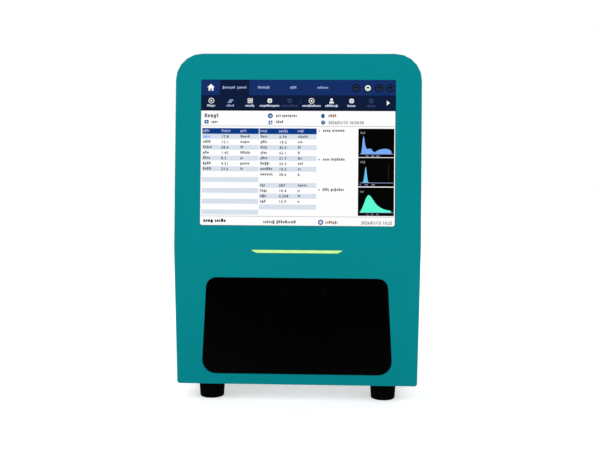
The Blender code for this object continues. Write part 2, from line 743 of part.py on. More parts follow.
BELT_X = PARTITION_X - CARRIAGE_BACK_GAP - BELT_WIDTH / 2 - PULLEY_CHEEK
IDLER_Y = CARRIAGE_REAR - CLAMP_LENGTH - PULLEY_GAP - PULLEY_OUTER
DRIVE_Y = CARRIAGE_REAR + PROBE_ROW_LENGTH + PULLEY_GAP + PULLEY_OUTER
LAST_BATH_Y = TUBE_Y + PROBE_ROW_LENGTH
FIRST_BATH_Y = LAST_BATH_Y - BATH_SPACING
SYRINGE_X = PARTITION_X - SYRINGE_STANDOFF
SYRINGE_Y = LAST_BATH_Y + SYRINGE_GAP_BEHIND_BATHS
DOOR_FRONT = CREASE_Y + DOOR_SETBACK
DOOR_REAR = DOOR_FRONT + DOOR_LENGTH
DOOR_LOW = BOTTOM_Z + DOOR_RISE
DOOR_HIGH = DOOR_LOW + DOOR_HEIGHT
HINGE_X = -COVER_HALF + HINGE_INSET
HINGE_HEIGHTS = {"upper": DOOR_HIGH - HINGE_MARGIN, "lower": DOOR_LOW + HINGE_MARGIN}
FAN_BORE = FAN_SIZE / 2 - FAN_RING
FAN_REAR = REAR_INNER - GAP
FAN_FRONT = FAN_REAR - FAN_THICKNESS
SWITCH_Z = INLET_Z + SWITCH_RISE
DATA_Z = INLET_Z + DATA_RISE
SWITCH_PIVOT_Y = REAR_FACE - SWITCH_PIVOT_DEPTH
FITTING_X = COVER_INNER - FITTING_MARGIN - FAN_SIZE / 2
PARTITION_REAR = FAN_FRONT - PARTITION_REAR_ROOM
MANIFOLD_FRONT = PINION_Y + MOTOR_SIZE / 2 + MANIFOLD_FRONT_ROOM
MANIFOLD_REAR = SYRINGE_Y - MOTOR_SIZE / 2 - MANIFOLD_REAR_ROOM
SUPPLY_LEFT = PARTITION_RIGHT + SUPPLY_SIDE_ROOM
SUPPLY_RIGHT = BASE_HALF - BASE_SHEET - SUPPLY_SIDE_ROOM


# Front cover, display and light bar

def front_bezel():
    """One moulded shell: two faces, side walls, and the openings in them."""
    bezel = slab("front_bezel", [body_outline(0)], CREASE_Y - THROUGH, BEZEL_BACK)
    keep(bezel, slab("bezel_faces", [front_profile(0, THROUGH)], -HALF_WIDTH - THROUGH,
                     HALF_WIDTH + THROUGH, "X"))
    edge = bezel.modifiers.new("soft edge", "BEVEL")
    edge.width = EDGE_ROUND
    edge.segments = 2
    edge.angle_limit = math.radians(60)
    hollow = slab("bezel_hollow", [body_outline(BEZEL_WALL)], CREASE_Y - THROUGH, BEZEL_BACK + THROUGH)
    keep(hollow, slab("bezel_hollow_faces", [front_profile(BEZEL_WALL, 2 * THROUGH)],
                      -HALF_WIDTH - THROUGH, HALF_WIDTH + THROUGH, "X"))
    inner = HALF_WIDTH - BEZEL_WALL
    open_floor = block("bezel_floor", (-inner, LIP_BACK, BOTTOM_Z - THROUGH),
                       (inner, BEZEL_BACK + THROUGH, BOTTOM_Z + BEZEL_WALL + SINK))
    cut(bezel, hollow, open_floor)
    bosses = [rod("bezel_boss", (side * BOSS_X, BEZEL_WALL - SINK, rise),
                  (side * BOSS_X, BRACKET_FRONT - GAP, rise), BOSS_RADIUS, face=UPPER_FACE)
              for side in (-1, 1) for rise in BOSS_RISES]
    head = UPPER_LENGTH - 4 * RIB_HEIGHT / 3
    ribs = [
        block("crease_rib", (-inner - SINK, BEZEL_WALL - SINK, RIB_THICKNESS),
              (inner + SINK, BEZEL_WALL + RIB_HEIGHT, 2 * RIB_THICKNESS), UPPER_FACE),
        block("head_rib", (-inner + TOP_CORNER, BEZEL_WALL - SINK, head),
              (inner - TOP_CORNER, BEZEL_WALL + RIB_HEIGHT, head + RIB_THICKNESS), UPPER_FACE)]
    fuse(bezel, *bosses, *ribs)
    holes = [rod("boss_hole", (side * BOSS_X, BEZEL_WALL + SINK, rise),
                 (side * BOSS_X, BRACKET_FRONT + THROUGH, rise), BOSS_HOLE, 10, face=UPPER_FACE)
             for side in (-1, 1) for rise in BOSS_RISES]
    cut(bezel, *holes,
        slab("screen_hole", [screen_outline(0, 0, SCREEN_CORNER)], -THROUGH, BEZEL_WALL + THROUGH,
             face=UPPER_FACE),
        slab("glass_pocket", [screen_outline(GLASS_BORDER + GAP, GLASS_BORDER + GAP)], SCREEN_LIP,
             BEZEL_WALL + THROUGH, face=UPPER_FACE),
        slab("bar_slot", [bar_outline(0)], -THROUGH, BEZEL_WALL + THROUGH / 2, face=LOWER_FACE),
        slab("panel_hole", [panel_outline(0)], -THROUGH, BEZEL_WALL + THROUGH / 2, face=LOWER_FACE))
    return finish(bezel, teal)


def display():
    """The touch glass, the display module behind it and the frame that holds them."""
    finish(slab("touch_glass", [screen_outline(GLASS_BORDER, GLASS_BORDER)], GLASS_FRONT, GLASS_BACK,
                face=UPPER_FACE), glass)
    finish(slab("display_module", [screen_outline(MODULE_SIDE_BORDER, MODULE_END_BORDER)], MODULE_FRONT,
                MODULE_FRONT + MODULE_THICKNESS, face=UPPER_FACE), dark_metal)
    half = BOSS_X + BOSS_RADIUS
    low = SCREEN_SILL - MODULE_END_BORDER - 2 * BRACKET_SHEET
    high = SCREEN_SILL + SCREEN_HEIGHT + MODULE_END_BORDER + 2 * BRACKET_SHEET
    middle = SCREEN_SILL + SCREEN_HEIGHT / 2
    reach = BRACKET_WINDOW / 2
    windows = [slab("bracket_window", [moved(rectangle(-reach, reach, -reach, reach, BOSS_RADIUS),
                                             column * SCREEN_WIDTH / 4, middle)],
                    0, BRACKET_FRONT + THROUGH, face=UPPER_FACE) for column in (-1, 0, 1)]
    frame = slab("display_bracket", [rectangle(-half, half, low, high, BOSS_RADIUS / 2)],
                 BRACKET_FRONT, BRACKET_FRONT + BRACKET_SHEET, face=UPPER_FACE)
    cut(frame, *windows)
    rims = [block("bracket_rim", (-half + BOSS_RADIUS, BRACKET_FRONT + SINK, start),
                  (half - BOSS_RADIUS, BRACKET_FRONT + BRACKET_RIM, start + BRACKET_SHEET), UPPER_FACE)
            for start in (low, high - BRACKET_SHEET)]
    fuse(frame, *rims)
    return finish(frame, zinc)


def light_bar():
    """A clear bar with a flange behind the wall, and its strip of lamps."""
    bar = slab("light_bar", [bar_outline(-GAP)], 0, BEZEL_WALL + 2 * GAP, face=LOWER_FACE)
    fuse(bar, slab("bar_flange", [bar_outline(BAR_FLANGE)], BEZEL_WALL + GAP, BAR_DEPTH, face=LOWER_FACE))
    finish(bar, lime)
    top = -BAR_DROP + BAR_FLANGE
    half = BAR_TOP_WIDTH / 2 + 2 * BAR_FLANGE
    board = block("light_board", (-half, BAR_DEPTH + GAP, top - LIGHT_BOARD_HEIGHT),
                  (half, BAR_DEPTH + GAP + BOARD_THICKNESS, top), LOWER_FACE)
    finish(board, green)


# Sample bay

def tray_front_outline(grow, head=0.0):
    half = TRAY_FRONT_WIDTH / 2 + grow
    return rectangle(-half, half, TRAY_FRONT_LOW - grow, TRAY_FRONT_HIGH + max(grow, head),
                     TRAY_FRONT_CORNER)


def bay_panel():
    """The black panel, with a flange behind the cover and a hole for the tray."""
    panel = slab("bay_panel", [panel_outline(-GAP)], PANEL_RECESS, PANEL_BACK, face=LOWER_FACE)
    fuse(panel, slab("panel_flange", [panel_outline(PANEL_FLANGE)], BEZEL_WALL + GAP, PANEL_BACK,
                     face=LOWER_FACE))
    head = GAP + PANEL_BACK * math.tan(LOWER_UNDERCUT)
    cut(panel, slab("tray_hole", [tray_front_outline(GAP, head)], -THROUGH, THROUGH, face=LOWER_FACE))
    return finish(panel, black_gloss)


def sample_tray(body):
    """Front plate, floor and drive rack in one moulding."""
    tray = slab("sample_tray", [tray_front_outline(0)], PANEL_RECESS, PANEL_BACK, face=LOWER_FACE)
    half = TRAY_WIDTH / 2
    front = face_point(LOWER_FACE, PANEL_BACK / 2, TRAY_FRONT_LOW)[0]
    teeth = [Vector((TRAY_PITCH_X + away, y))
             for away, y in rack_teeth(PINION_Y, PINION_Y - 2 * PITCH, TRAY_REAR)]
    floor = slab("tray_floor", [[Vector((-half, front)), Vector((half, front)), *teeth,
                                 Vector((half, TRAY_REAR)), Vector((-half, TRAY_REAR))]],
                 TRAY_Z, TRAY_TOP, "Z")
    reach = TRAY_TOP + TRAY_RIB_HEIGHT - CREASE_Z
    heel = face_point(LOWER_FACE, PANEL_BACK - SINK, TRAY_TOP - SINK - CREASE_Z)
    head = face_point(LOWER_FACE, PANEL_BACK - SINK, reach)
    rib = [Vector(heel), Vector((heel[0] + TRAY_RIB_LENGTH, heel[1])), Vector(head)]
    ribs = [slab("tray_rib", [rib], x - TRAY_RIB / 2, x + TRAY_RIB / 2, "X")
            for x in (-TRAY_WIDTH / 3, TRAY_WIDTH / 3)]
    fuse(tray, floor, *ribs)
    return finish(tray, black_gloss, body)


def tube_holder(body):
    """A square post with a bore for one sample tube and a window at its front."""
    half = TUBE_BORE + HOLDER_WALL
    low = TRAY_TOP + GAP
    post = slab("tube_holder", [moved(rectangle(-half, half, -half, half, HOLDER_CORNER), 0, TUBE_Y),
                                circle(0, TUBE_Y, TUBE_BORE, 24)], low, low + HOLDER_HEIGHT, "Z")
    cut(post, block("holder_window", (-HOLDER_WINDOW / 2, TUBE_Y - 2 * half, low + HOLDER_WALL),
                    (HOLDER_WINDOW / 2, TUBE_Y, low + HOLDER_HEIGHT - HOLDER_WALL)))
    return finish(post, light_grey, body)


def tray_guide():
    """An open channel on the base. Its two lips hold the tray down."""
    left, right = GUIDE_LEFT, GUIDE_RIGHT
    foot, under = BASE_TOP + GAP, GUIDE_TOP - GUIDE_WALL
    section = [(left - GUIDE_WALL, foot), (left, foot), (left, under), (right, under), (right, foot),
               (right + GUIDE_WALL, foot), (right + GUIDE_WALL, LIP_TOP), (right - GUIDE_LIP, LIP_TOP),
               (right - GUIDE_LIP, LIP_UNDER), (right, LIP_UNDER), (right, GUIDE_TOP), (left, GUIDE_TOP),
               (left, LIP_UNDER), (left + GUIDE_LIP, LIP_UNDER), (left + GUIDE_LIP, LIP_TOP),
               (left - GUIDE_WALL, LIP_TOP)]
    guide = slab("tray_guide", [[Vector(point) for point in section]], GUIDE_FRONT, TRAY_REAR)
    cut(guide, rod("pinion_window", (PINION_X, PINION_Y, GUIDE_TOP - SINK),
                   (PINION_X, PINION_Y, LIP_TOP + THROUGH), PINION_OUTER + 4 * GAP))
    return finish(guide, dark_grey)


def bay_liner():
    """A hood over the closed tray, cut to the slant of the panel, with a hole for the needle."""
    left, right = GUIDE_LEFT - GUIDE_WALL, GUIDE_RIGHT + GUIDE_WALL
    foot = LIP_TOP + GAP
    section = [(left, foot), (left + LINER_WALL, foot), (left + LINER_WALL, LINER_TOP - LINER_WALL),
               (right - LINER_WALL, LINER_TOP - LINER_WALL), (right - LINER_WALL, foot), (right, foot),
               (right, LINER_TOP), (left, LINER_TOP)]
    liner = slab("bay_liner", [[Vector(point) for point in section]], CREASE_Y, LINER_BACK)
    cut(liner,
        block("liner_slant", (-HALF_WIDTH, -2 * THROUGH, -LOWER_LENGTH), (HALF_WIDTH, PANEL_BACK + GAP, 0),
              LOWER_FACE),
        rod("needle_hole", (0, TUBE_Y, LINER_TOP - THROUGH / 2), (0, TUBE_Y, LINER_TOP + THROUGH),
            NEEDLE_HOLE, 24))
    return finish(liner, dark_grey)


def tray_drive(body):
    """The drive gear with its shaft, the motor over it and the plate that carries the motor."""
    gear_z = TRAY_Z + (TRAY_FLOOR - PINION_FACE) / 2
    plate_z = LIP_TOP + MOTOR_PLATE_GAP
    gear = slab("tray_pinion", [pinion_outline(math.pi)], gear_z, gear_z + PINION_FACE, "Z",
                Matrix.Translation((PINION_X, PINION_Y, 0)))
    fuse(gear, rod("tray_shaft", (PINION_X, PINION_Y, gear_z + SINK),
                   (PINION_X, PINION_Y, plate_z + PLATE_SHEET + MOTOR_LENGTH / 2), SHAFT_RADIUS))
    finish(gear, acetal, body)
    half = MOTOR_SIZE / 2
    low, high = PINION_Y - half, PINION_Y + half
    plate = slab("tray_motor_plate", [rectangle(PINION_X - half, SEAT_X, low, high, MOTOR_CORNER / 2),
                                      circle(PINION_X, PINION_Y, SHAFT_RADIUS + 4 * GAP, SMALL_SIDES)],
                 plate_z, plate_z + PLATE_SHEET, "Z")
    fuse(plate, block("motor_plate_fold", (SEAT_X - PLATE_SHEET, low + MOTOR_CORNER, plate_z + SINK),
                      (SEAT_X, high - MOTOR_CORNER, plate_z + half)))
    finish(plate, zinc)
    finish(stepper("tray_motor", PINION_X, PINION_Y, plate_z + PLATE_SHEET + GAP, "Z", 1), motor_black)


# Chassis and metal cover

def foot(name, x, y):
    """A turned rubber foot with a screw recess in its underside."""
    top = FOOT_HEIGHT - GAP
    recess = FOOT_BOTTOM_RADIUS / 2
    profile = [(0, top), (FOOT_TOP_RADIUS, top), (FOOT_TOP_RADIUS, top - FOOT_COLLAR),
               (FOOT_BOTTOM_RADIUS, FOOT_CHAMFER), (FOOT_BOTTOM_RADIUS - FOOT_CHAMFER, 0),
               (recess, 0), (recess, top / 3), (0, top / 3)]
    return finish(turned(name, profile, (x, y, 0), sides=20), rubber)


def base_plate():
    """A folded steel tray that carries the machine."""
    base = block("base_plate", (-BASE_HALF, BASE_FRONT, BOTTOM_Z), (BASE_HALF, REAR_FACE, BASE_TOP))
    front, rear = BEZEL_BACK + BEZEL_WALL, REAR_INNER - GAP
    low, high = BOTTOM_Z + SINK, BASE_TOP + BASE_FLANGE
    inner = BASE_HALF - BASE_SHEET
    fuse(base, block("left_flange", (-BASE_HALF, front, low), (-inner, rear, high)),
         block("right_flange", (inner, front, low), (BASE_HALF, rear, high)))
    return finish(base, zinc)


def main_cover():
    """A folded sheet over the machine, with the door's opening and a row of vents."""
    low = BOTTOM_Z + COVER_STEP
    corner = TOP_CORNER - COVER_STEP
    outer = [(-COVER_HALF, low, 0), (-COVER_HALF, COVER_TOP, corner), (COVER_HALF, COVER_TOP, corner),
             (COVER_HALF, low, 0)]
    inner_top, inner_corner = COVER_TOP - COVER_SHEET, corner - COVER_SHEET
    inner = [(COVER_INNER, low, 0), (COVER_INNER, inner_top, inner_corner),
             (-COVER_INNER, inner_top, inner_corner), (-COVER_INNER, low, 0)]
    cover = slab("main_cover", [round_corners(outer + inner)], BEZEL_BACK + GAP, REAR_Y)
    opening = slab("door_opening", [rectangle(DOOR_FRONT, DOOR_REAR + HINGE_EDGE_GAP, DOOR_LOW, DOOR_HIGH,
                                              DOOR_CORNER + DOOR_GAP)],
                   -COVER_HALF - THROUGH, -COVER_INNER + THROUGH, "X")
    notches = [block("hinge_notch", (-COVER_HALF - THROUGH, DOOR_REAR, z - HINGE_LENGTH / 2 - GAP),
                     (-COVER_INNER + THROUGH, DOOR_REAR + HINGE_RADIUS + 2 * GAP, z + HINGE_LENGTH / 2 + GAP))
               for z in HINGE_HEIGHTS.values()]
    last = REAR_Y - VENT_REAR_MARGIN
    z = BASE_TOP + BASE_FLANGE + VENT_WIDTH
    slots = [slab("vent", [rectangle(y - VENT_WIDTH / 2, y + VENT_WIDTH / 2, z, z + VENT_LENGTH,
                                     VENT_WIDTH / 3, 1)], COVER_INNER - THROUGH, COVER_HALF + THROUGH, "X")
             for y in (last - VENT_PITCH * slot for slot in range(VENT_SLOTS))]
    cut(cover, opening, *notches, *slots)
    return finish(cover, off_white)


def service_door(body):
    """The door's skin, its folded rim, the finger grip and two hinge knuckles."""
    low, high = DOOR_LOW + DOOR_GAP, DOOR_HIGH - DOOR_GAP
    front, rear = DOOR_FRONT + DOOR_GAP, DOOR_REAR - DOOR_GAP
    door = slab("service_door", [rectangle(front, rear, low, high, DOOR_CORNER)],
                -COVER_HALF, -COVER_INNER, "X")
    inset = DOOR_RIM_INSET
    rim = slab("door_rim", [
        rectangle(front + inset, rear - inset, low + inset, high - inset, DOOR_CORNER),
        rectangle(front + inset + COVER_SHEET, rear - inset - COVER_SHEET,
                  low + inset + COVER_SHEET, high - inset - COVER_SHEET, DOOR_CORNER)],
        -COVER_INNER - SINK, -COVER_INNER + DOOR_RIM, "X")
    grip_y = front + inset + COVER_SHEET + GRIP_WIDTH
    grip_z = (low + high) / 2

    def grip(wall):
        return centred(grip_y, grip_z, GRIP_WIDTH + 2 * wall, GRIP_LENGTH + 2 * wall, GRIP_WIDTH / 3)

    cup = slab("grip_cup", [grip(COVER_SHEET)], -COVER_INNER - SINK,
               -COVER_HALF + GRIP_DEPTH + COVER_SHEET, "X")
    pocket = slab("grip_pocket", [grip(0)], -COVER_HALF - THROUGH, -COVER_HALF + GRIP_DEPTH, "X")
    fuse(door, rim, cup)
    cut(door, pocket)
    for z in HINGE_HEIGHTS.values():
        reach = HINGE_LENGTH / 4
        cut(door, *[rod("knuckle_room", (HINGE_X, DOOR_REAR, z + side * (reach - GAP)),
                        (HINGE_X, DOOR_REAR, z + side * (HINGE_LENGTH / 2 + GAP)), HINGE_RADIUS + 2 * GAP, 12)
                    for side in (-1, 1)])
        fuse(door, rod("door_knuckle", (HINGE_X, DOOR_REAR, z - reach + GAP),
                       (HINGE_X, DOOR_REAR, z + reach - GAP), HINGE_RADIUS, 12))
        cut(door, rod("knuckle_bore", (HINGE_X, DOOR_REAR, z - HINGE_LENGTH),
                      (HINGE_X, DOOR_REAR, z + HINGE_LENGTH), HINGE_PIN_RADIUS + GAP, 8))
    return finish(door, off_white, body)


def door_hinge(name, z):
    """A leaf behind the cover, with two knuckles and the pin between them."""
    reach = HINGE_LENGTH / 4
    leaf_x = -COVER_INNER + GAP
    hinge = block(name, (leaf_x, DOOR_REAR, z - HINGE_LENGTH / 2),
                  (leaf_x + HINGE_INSET, DOOR_REAR + HINGE_LEAF, z + HINGE_LENGTH / 2))
    cut(hinge, block("leaf_notch", (leaf_x - THROUGH, DOOR_REAR - THROUGH, z - reach),
                     (leaf_x + THROUGH, DOOR_REAR + HINGE_RADIUS + 2 * GAP, z + reach)))
    knuckles = [rod("hinge_knuckle", (HINGE_X, DOOR_REAR, z + side * reach),
                    (HINGE_X, DOOR_REAR, z + side * HINGE_LENGTH / 2), HINGE_RADIUS, 12) for side in (-1, 1)]
    pin = rod("hinge_pin", (HINGE_X, DOOR_REAR, z - reach - SINK),
              (HINGE_X, DOOR_REAR, z + reach + SINK), HINGE_PIN_RADIUS, 8)
    fuse(hinge, *knuckles, pin)
    return finish(hinge, steel)


def rear_panel():
    """The rear sheet, with holes for the fan and every fitting."""
    half, top = COVER_INNER - GAP, COVER_TOP - COVER_SHEET - GAP
    low = BASE_TOP + GAP
    corner = TOP_CORNER - COVER_STEP - COVER_SHEET - GAP
    x = FITTING_X
    outline = round_corners([(-half, low, 0), (half, low, 0), (half, top, corner), (-half, top, corner)])
    ports = [circle(port_x, PORT_Z, PORT_RADIUS + GAP, SMALL_SIDES) for port_x in port_places()]
    panel = slab("rear_panel", [
        outline, circle(x, FAN_Z, FAN_BORE), *ports,
        centred(x, INLET_Z, INLET_WIDTH + 2 * GAP, INLET_HEIGHT + 2 * GAP),
        centred(x, SWITCH_Z, SWITCH_WIDTH + 2 * GAP, SWITCH_HEIGHT + 2 * GAP),
        centred(x, DATA_Z, DATA_WIDTH + 2 * GAP, DATA_HEIGHT + 2 * GAP)], REAR_INNER, REAR_FACE)
    return finish(panel, off_white)


def centred(x, z, width, height, corner=0.0):
    return rectangle(x - width / 2, x + width / 2, z - height / 2, z + height / 2, corner)


def port_places():
    return [-PORT_SETOFF + PORT_SPACING * (port - (PORTS - 1) / 2) for port in range(PORTS)]


def partition_plate():
    """The upright inner plate that carries fluid parts on its left and boards on its right."""
    fold = [(PARTITION_X - PARTITION_FLANGE, BASE_TOP + GAP), (PARTITION_RIGHT, BASE_TOP + GAP),
            (PARTITION_RIGHT, PARTITION_TOP), (PARTITION_X, PARTITION_TOP),
            (PARTITION_X, BASE_TOP + GAP + PLATE_SHEET),
            (PARTITION_X - PARTITION_FLANGE, BASE_TOP + GAP + PLATE_SHEET)]
    plate = slab("partition_plate", [[Vector(point) for point in fold]], PARTITION_FRONT, PARTITION_REAR)
    window = slab("cable_window", [centred(PARTITION_REAR - WINDOW_WIDTH, PARTITION_TOP - WINDOW_HEIGHT,
                                           WINDOW_WIDTH, WINDOW_HEIGHT, WINDOW_CORNER)],
                  PARTITION_X - THROUGH, PARTITION_RIGHT + THROUGH, "X")
    shafts = [rod("shaft_hole", (PARTITION_X - THROUGH, y, BELT_Z), (PARTITION_X + THROUGH, y, BELT_Z),
                  SHAFT_RADIUS + GAP) for y in (DRIVE_Y, IDLER_Y)]
    cut(plate, window, *shafts)
    return finish(plate, zinc)


# Needle drive

def carriage_rail():
    """A steel rail with a groove above and below."""
    half, groove = RAIL_WIDTH / 2, RAIL_GROOVE
    middle = (RAIL_LEFT + SEAT_X) / 2
    section = [(RAIL_LEFT, -half), (middle - groove, -half), (middle, -half + groove),
               (middle + groove, -half), (SEAT_X, -half), (SEAT_X, half), (middle + groove, half),
               (middle, half - groove),
               (middle - groove, half), (RAIL_LEFT, half)]
    rail = slab("carriage_rail", [[Vector((x, z + RAIL_Z)) for x, z in section]], RAIL_FRONT, RAIL_REAR)
    return finish(rail, steel)


def probe_carriage(body):
    """Runner block, column, channel for the rack bar, motor plate and lower arm in one casting."""
    carriage = block("probe_carriage", (CARRIAGE_LEFT, CARRIAGE_FRONT, CARRIAGE_LOW),
                     (CARRIAGE_RIGHT, CARRIAGE_REAR, CARRIAGE_TOP))
    belt_low = BELT_Z - PULLEY_RADIUS - GAP - BELT_THICKNESS
    channel_low, channel_high = PROBE_PINION_Z - CHANNEL_HEIGHT / 2, PROBE_PINION_Z + CHANNEL_HEIGHT / 2
    rib_left = (BAR_FRONT + BAR_BACK) / 2
    half = MOTOR_SIZE / 2
    plate_x = PROBE_PINION_X - half
    wash = WASH_SIZE / 2
    clamp = block("belt_clamp", (CARRIAGE_LEFT, CARRIAGE_REAR - CLAMP_LENGTH, CARRIAGE_TOP - SINK),
                  (CARRIAGE_RIGHT, CARRIAGE_REAR, belt_low + 3 * BELT_THICKNESS))
    column = block("carriage_column", (COLUMN_LEFT, TUBE_Y - wash, FOOT_ARM_Z),
                   (COLUMN_LEFT + COLUMN_THICKNESS, BAR_Y + CHANNEL_Y + CHANNEL_WALL - SINK / 2,
                    max(channel_high, CARRIAGE_TOP)))
    ribs = [block("channel_rib", (rib_left, start, channel_low),
                  (COLUMN_LEFT + SINK, start + CHANNEL_WALL, channel_high))
            for start in (BAR_Y - CHANNEL_Y - CHANNEL_WALL, BAR_Y + CHANNEL_Y)]
    motor_plate = slab("probe_motor_plate", [
        rectangle(plate_x, COLUMN_LEFT + COLUMN_THICKNESS / 2, PROBE_PINION_Z - half, PROBE_PINION_Z + half,
                  MOTOR_CORNER / 2),
        circle(PROBE_PINION_X, PROBE_PINION_Z, SHAFT_RADIUS + 4 * GAP, SMALL_SIDES)],
        PROBE_PLATE_Y, PROBE_PLATE_Y + PLATE_SHEET)
    foot_arm = slab("foot_arm", [
        [Vector((-wash, TUBE_Y - wash)), Vector((COLUMN_LEFT + SINK, TUBE_Y - wash)),
         Vector((COLUMN_LEFT + SINK, BAR_Y - CHANNEL_Y)), Vector((wash, BAR_Y - CHANNEL_Y)),
         Vector((wash, TUBE_Y + wash)), Vector((-wash, TUBE_Y + wash))],
        circle(0, TUBE_Y, WASH_HOLE, SMALL_SIDES)], FOOT_ARM_Z, FOOT_ARM_Z + FOOT_ARM_THICKNESS, "Z")
    fuse(carriage, clamp, column, *ribs, motor_plate, foot_arm)
    cut(carriage,
        block("rail_groove", (RAIL_LEFT - GAP, CARRIAGE_FRONT - THROUGH, RAIL_Z - RAIL_WIDTH / 2 - GAP),
              (PARTITION_X + THROUGH, CARRIAGE_REAR + THROUGH, RAIL_Z + RAIL_WIDTH / 2 + GAP)),
        block("belt_slot", (BELT_X - BELT_WIDTH / 2 - GAP, CARRIAGE_REAR - THROUGH, belt_low - GAP),
              (PARTITION_X + THROUGH, CARRIAGE_REAR + THROUGH, belt_low + BELT_THICKNESS + GAP)))
    finish(carriage, cast_grey, body)
    block_part = slab("probe_wash_block", [moved(rectangle(-wash, wash, -wash, wash, wash / 4), 0, TUBE_Y),
                                           circle(0, TUBE_Y, PROBE_RADIUS + GAP, 12)], WASH_Z, WASH_TOP, "Z")
    finish(block_part, ivory, body)
    finish(stepper("probe_motor", PROBE_PINION_X, PROBE_PLATE_Y + PLATE_SHEET + GAP, PROBE_PINION_Z, "Y", 1),
           motor_black, body)


def probe_lift(body, gear_body):
    """The rack bar with its arm, the needle it holds, and the gear that drives it."""
    half = RACK_BAR_WIDTH / 2
    high = BAR_LOW + BAR_LENGTH
    bar = block("probe_rack", (BAR_FRONT, BAR_Y - half, BAR_LOW), (BAR_BACK, BAR_Y + GAP, high))
    teeth = [Vector((PROBE_PITCH_X - away, z)) for away, z in rack_teeth(PROBE_PINION_Z, BAR_LOW, high)]
    toothed = slab("rack_teeth", [[Vector((BAR_BACK, BAR_LOW)), Vector((BAR_BACK, high)),
                                   Vector((BAR_FRONT, high)), *reversed(teeth),
                                   Vector((BAR_FRONT, BAR_LOW))]], BAR_Y, BAR_Y + half)
    arm = slab("probe_arm", [rectangle(-ARM_WIDTH / 2, BAR_FRONT + 2 * SINK, TUBE_Y - ARM_WIDTH / 2,
                                       TUBE_Y + ARM_WIDTH / 2 - GAP, ARM_WIDTH / 4)],
               ARM_Z, ARM_Z + ARM_THICKNESS, "Z")
    joint = block("arm_root", (BAR_FRONT - ARM_WIDTH / 2, BAR_Y - half, ARM_Z + SINK),
                  (BAR_FRONT + SINK, BAR_Y - 2 * GAP, ARM_Z + ARM_THICKNESS - SINK))
    fuse(bar, toothed, arm, joint)
    cut(bar, rod("needle_seat", (0, TUBE_Y, ARM_Z - THROUGH), (0, TUBE_Y, ARM_Z + THROUGH),
                 PROBE_RADIUS + GAP, 12))
    finish(bar, acetal, body)
    hub_z = ARM_Z + ARM_THICKNESS + GAP
    needle = rod("sample_probe", (0, TUBE_Y, TIP_Z), (0, TUBE_Y, hub_z + GAP), PROBE_RADIUS, 12)
    fuse(needle, rod("probe_hub", (0, TUBE_Y, hub_z), (0, TUBE_Y, hub_z + PROBE_HUB_LENGTH),
                     PROBE_HUB_RADIUS, 6))
    finish(needle, steel, body)
    middle = BAR_Y + half / 2 + GAP / 2
    gear = slab("probe_pinion", [pinion_outline(0)], middle - PINION_FACE / 2, middle + PINION_FACE / 2, "Y",
                Matrix.Translation((PROBE_PINION_X, 0, PROBE_PINION_Z)))
    shaft_end = PROBE_PLATE_Y + PLATE_SHEET + MOTOR_LENGTH / 2
    fuse(gear, rod("probe_shaft", (PROBE_PINION_X, middle, PROBE_PINION_Z),
                   (PROBE_PINION_X, shaft_end, PROBE_PINION_Z), SHAFT_RADIUS))
    finish(gear, acetal, gear_body)


def belt_drive(drive_body, idler_body):
    """The toothed belt's loop, its two pulleys and the motor behind the inner plate."""
    def loop(radius):
        points = []
        for y, start in ((DRIVE_Y, -90), (IDLER_Y, 90)):
            for step in range(13):
                angle = math.radians(start + 15 * step)
                points.append(Vector((y + radius * math.cos(angle), BELT_Z + radius * math.sin(angle))))
        return points

    inner = PULLEY_RADIUS + GAP
    low, high = BELT_X - BELT_WIDTH / 2, BELT_X + BELT_WIDTH / 2
    belt = slab("carriage_belt", [loop(inner + BELT_THICKNESS), loop(inner)], low, high, "X")
    finish(belt, rubber)
    for name, y, end, body in (("drive_pulley", DRIVE_Y, MOTOR_LENGTH / 2, drive_body),
                               ("idler_pulley", IDLER_Y, IDLER_SHAFT_END, idler_body)):
        shaft_end = PARTITION_RIGHT + end - BELT_X
        width, cheek = BELT_WIDTH / 2 + GAP, BELT_WIDTH / 2 + GAP + PULLEY_CHEEK
        profile = [(0, shaft_end), (SHAFT_RADIUS, shaft_end), (SHAFT_RADIUS, cheek), (PULLEY_OUTER, cheek),
                   (PULLEY_OUTER, width), (PULLEY_RADIUS, width), (PULLEY_RADIUS, -width),
                   (PULLEY_OUTER, -width), (PULLEY_OUTER, -cheek), (0, -cheek)]
        finish(turned(name, profile, (BELT_X, y, BELT_Z), "X", SMALL_SIDES), aluminium, body)
    finish(stepper("carriage_motor", PARTITION_RIGHT + GAP, DRIVE_Y, BELT_Z, "X", 1), motor_black)


# Baths, syringes, valves, pump and bottle

def bath(name, y):
    """A turned cup with a flange at its rim and a drain at its foot."""
    inner = BATH_RADIUS - BATH_WALL
    floor = TIP_LOW - BATH_FLOOR_GAP
    flange = BATH_RADIUS + BATH_FLANGE
    profile = [(0, floor), (inner - BATH_CONE, floor + GAP), (inner, floor + BATH_CONE), (inner, BATH_TOP),
               (flange, BATH_TOP), (flange, BATH_TOP - BATH_FLANGE), (BATH_RADIUS, BATH_TOP - BATH_FLANGE),
               (BATH_RADIUS, floor + BATH_CONE), (BATH_RADIUS - BATH_CONE, floor - BATH_WALL),
               (0, floor - BATH_WALL)]
    cup = turned(name, profile, (0, y, 0), sides=20)
    drain_z = floor + BATH_CONE + BATH_DRAIN_RADIUS
    start, end = -BATH_RADIUS + BATH_WALL / 2, -BATH_RADIUS - BATH_DRAIN_LENGTH
    fuse(cup, rod("bath_drain", (start, y, drain_z), (end, y, drain_z), BATH_DRAIN_RADIUS, 12))
    cut(cup, rod("drain_bore", (start + BATH_WALL, y, drain_z), (end - THROUGH, y, drain_z),
                 BATH_DRAIN_BORE, 8))
    return finish(cup, amber)


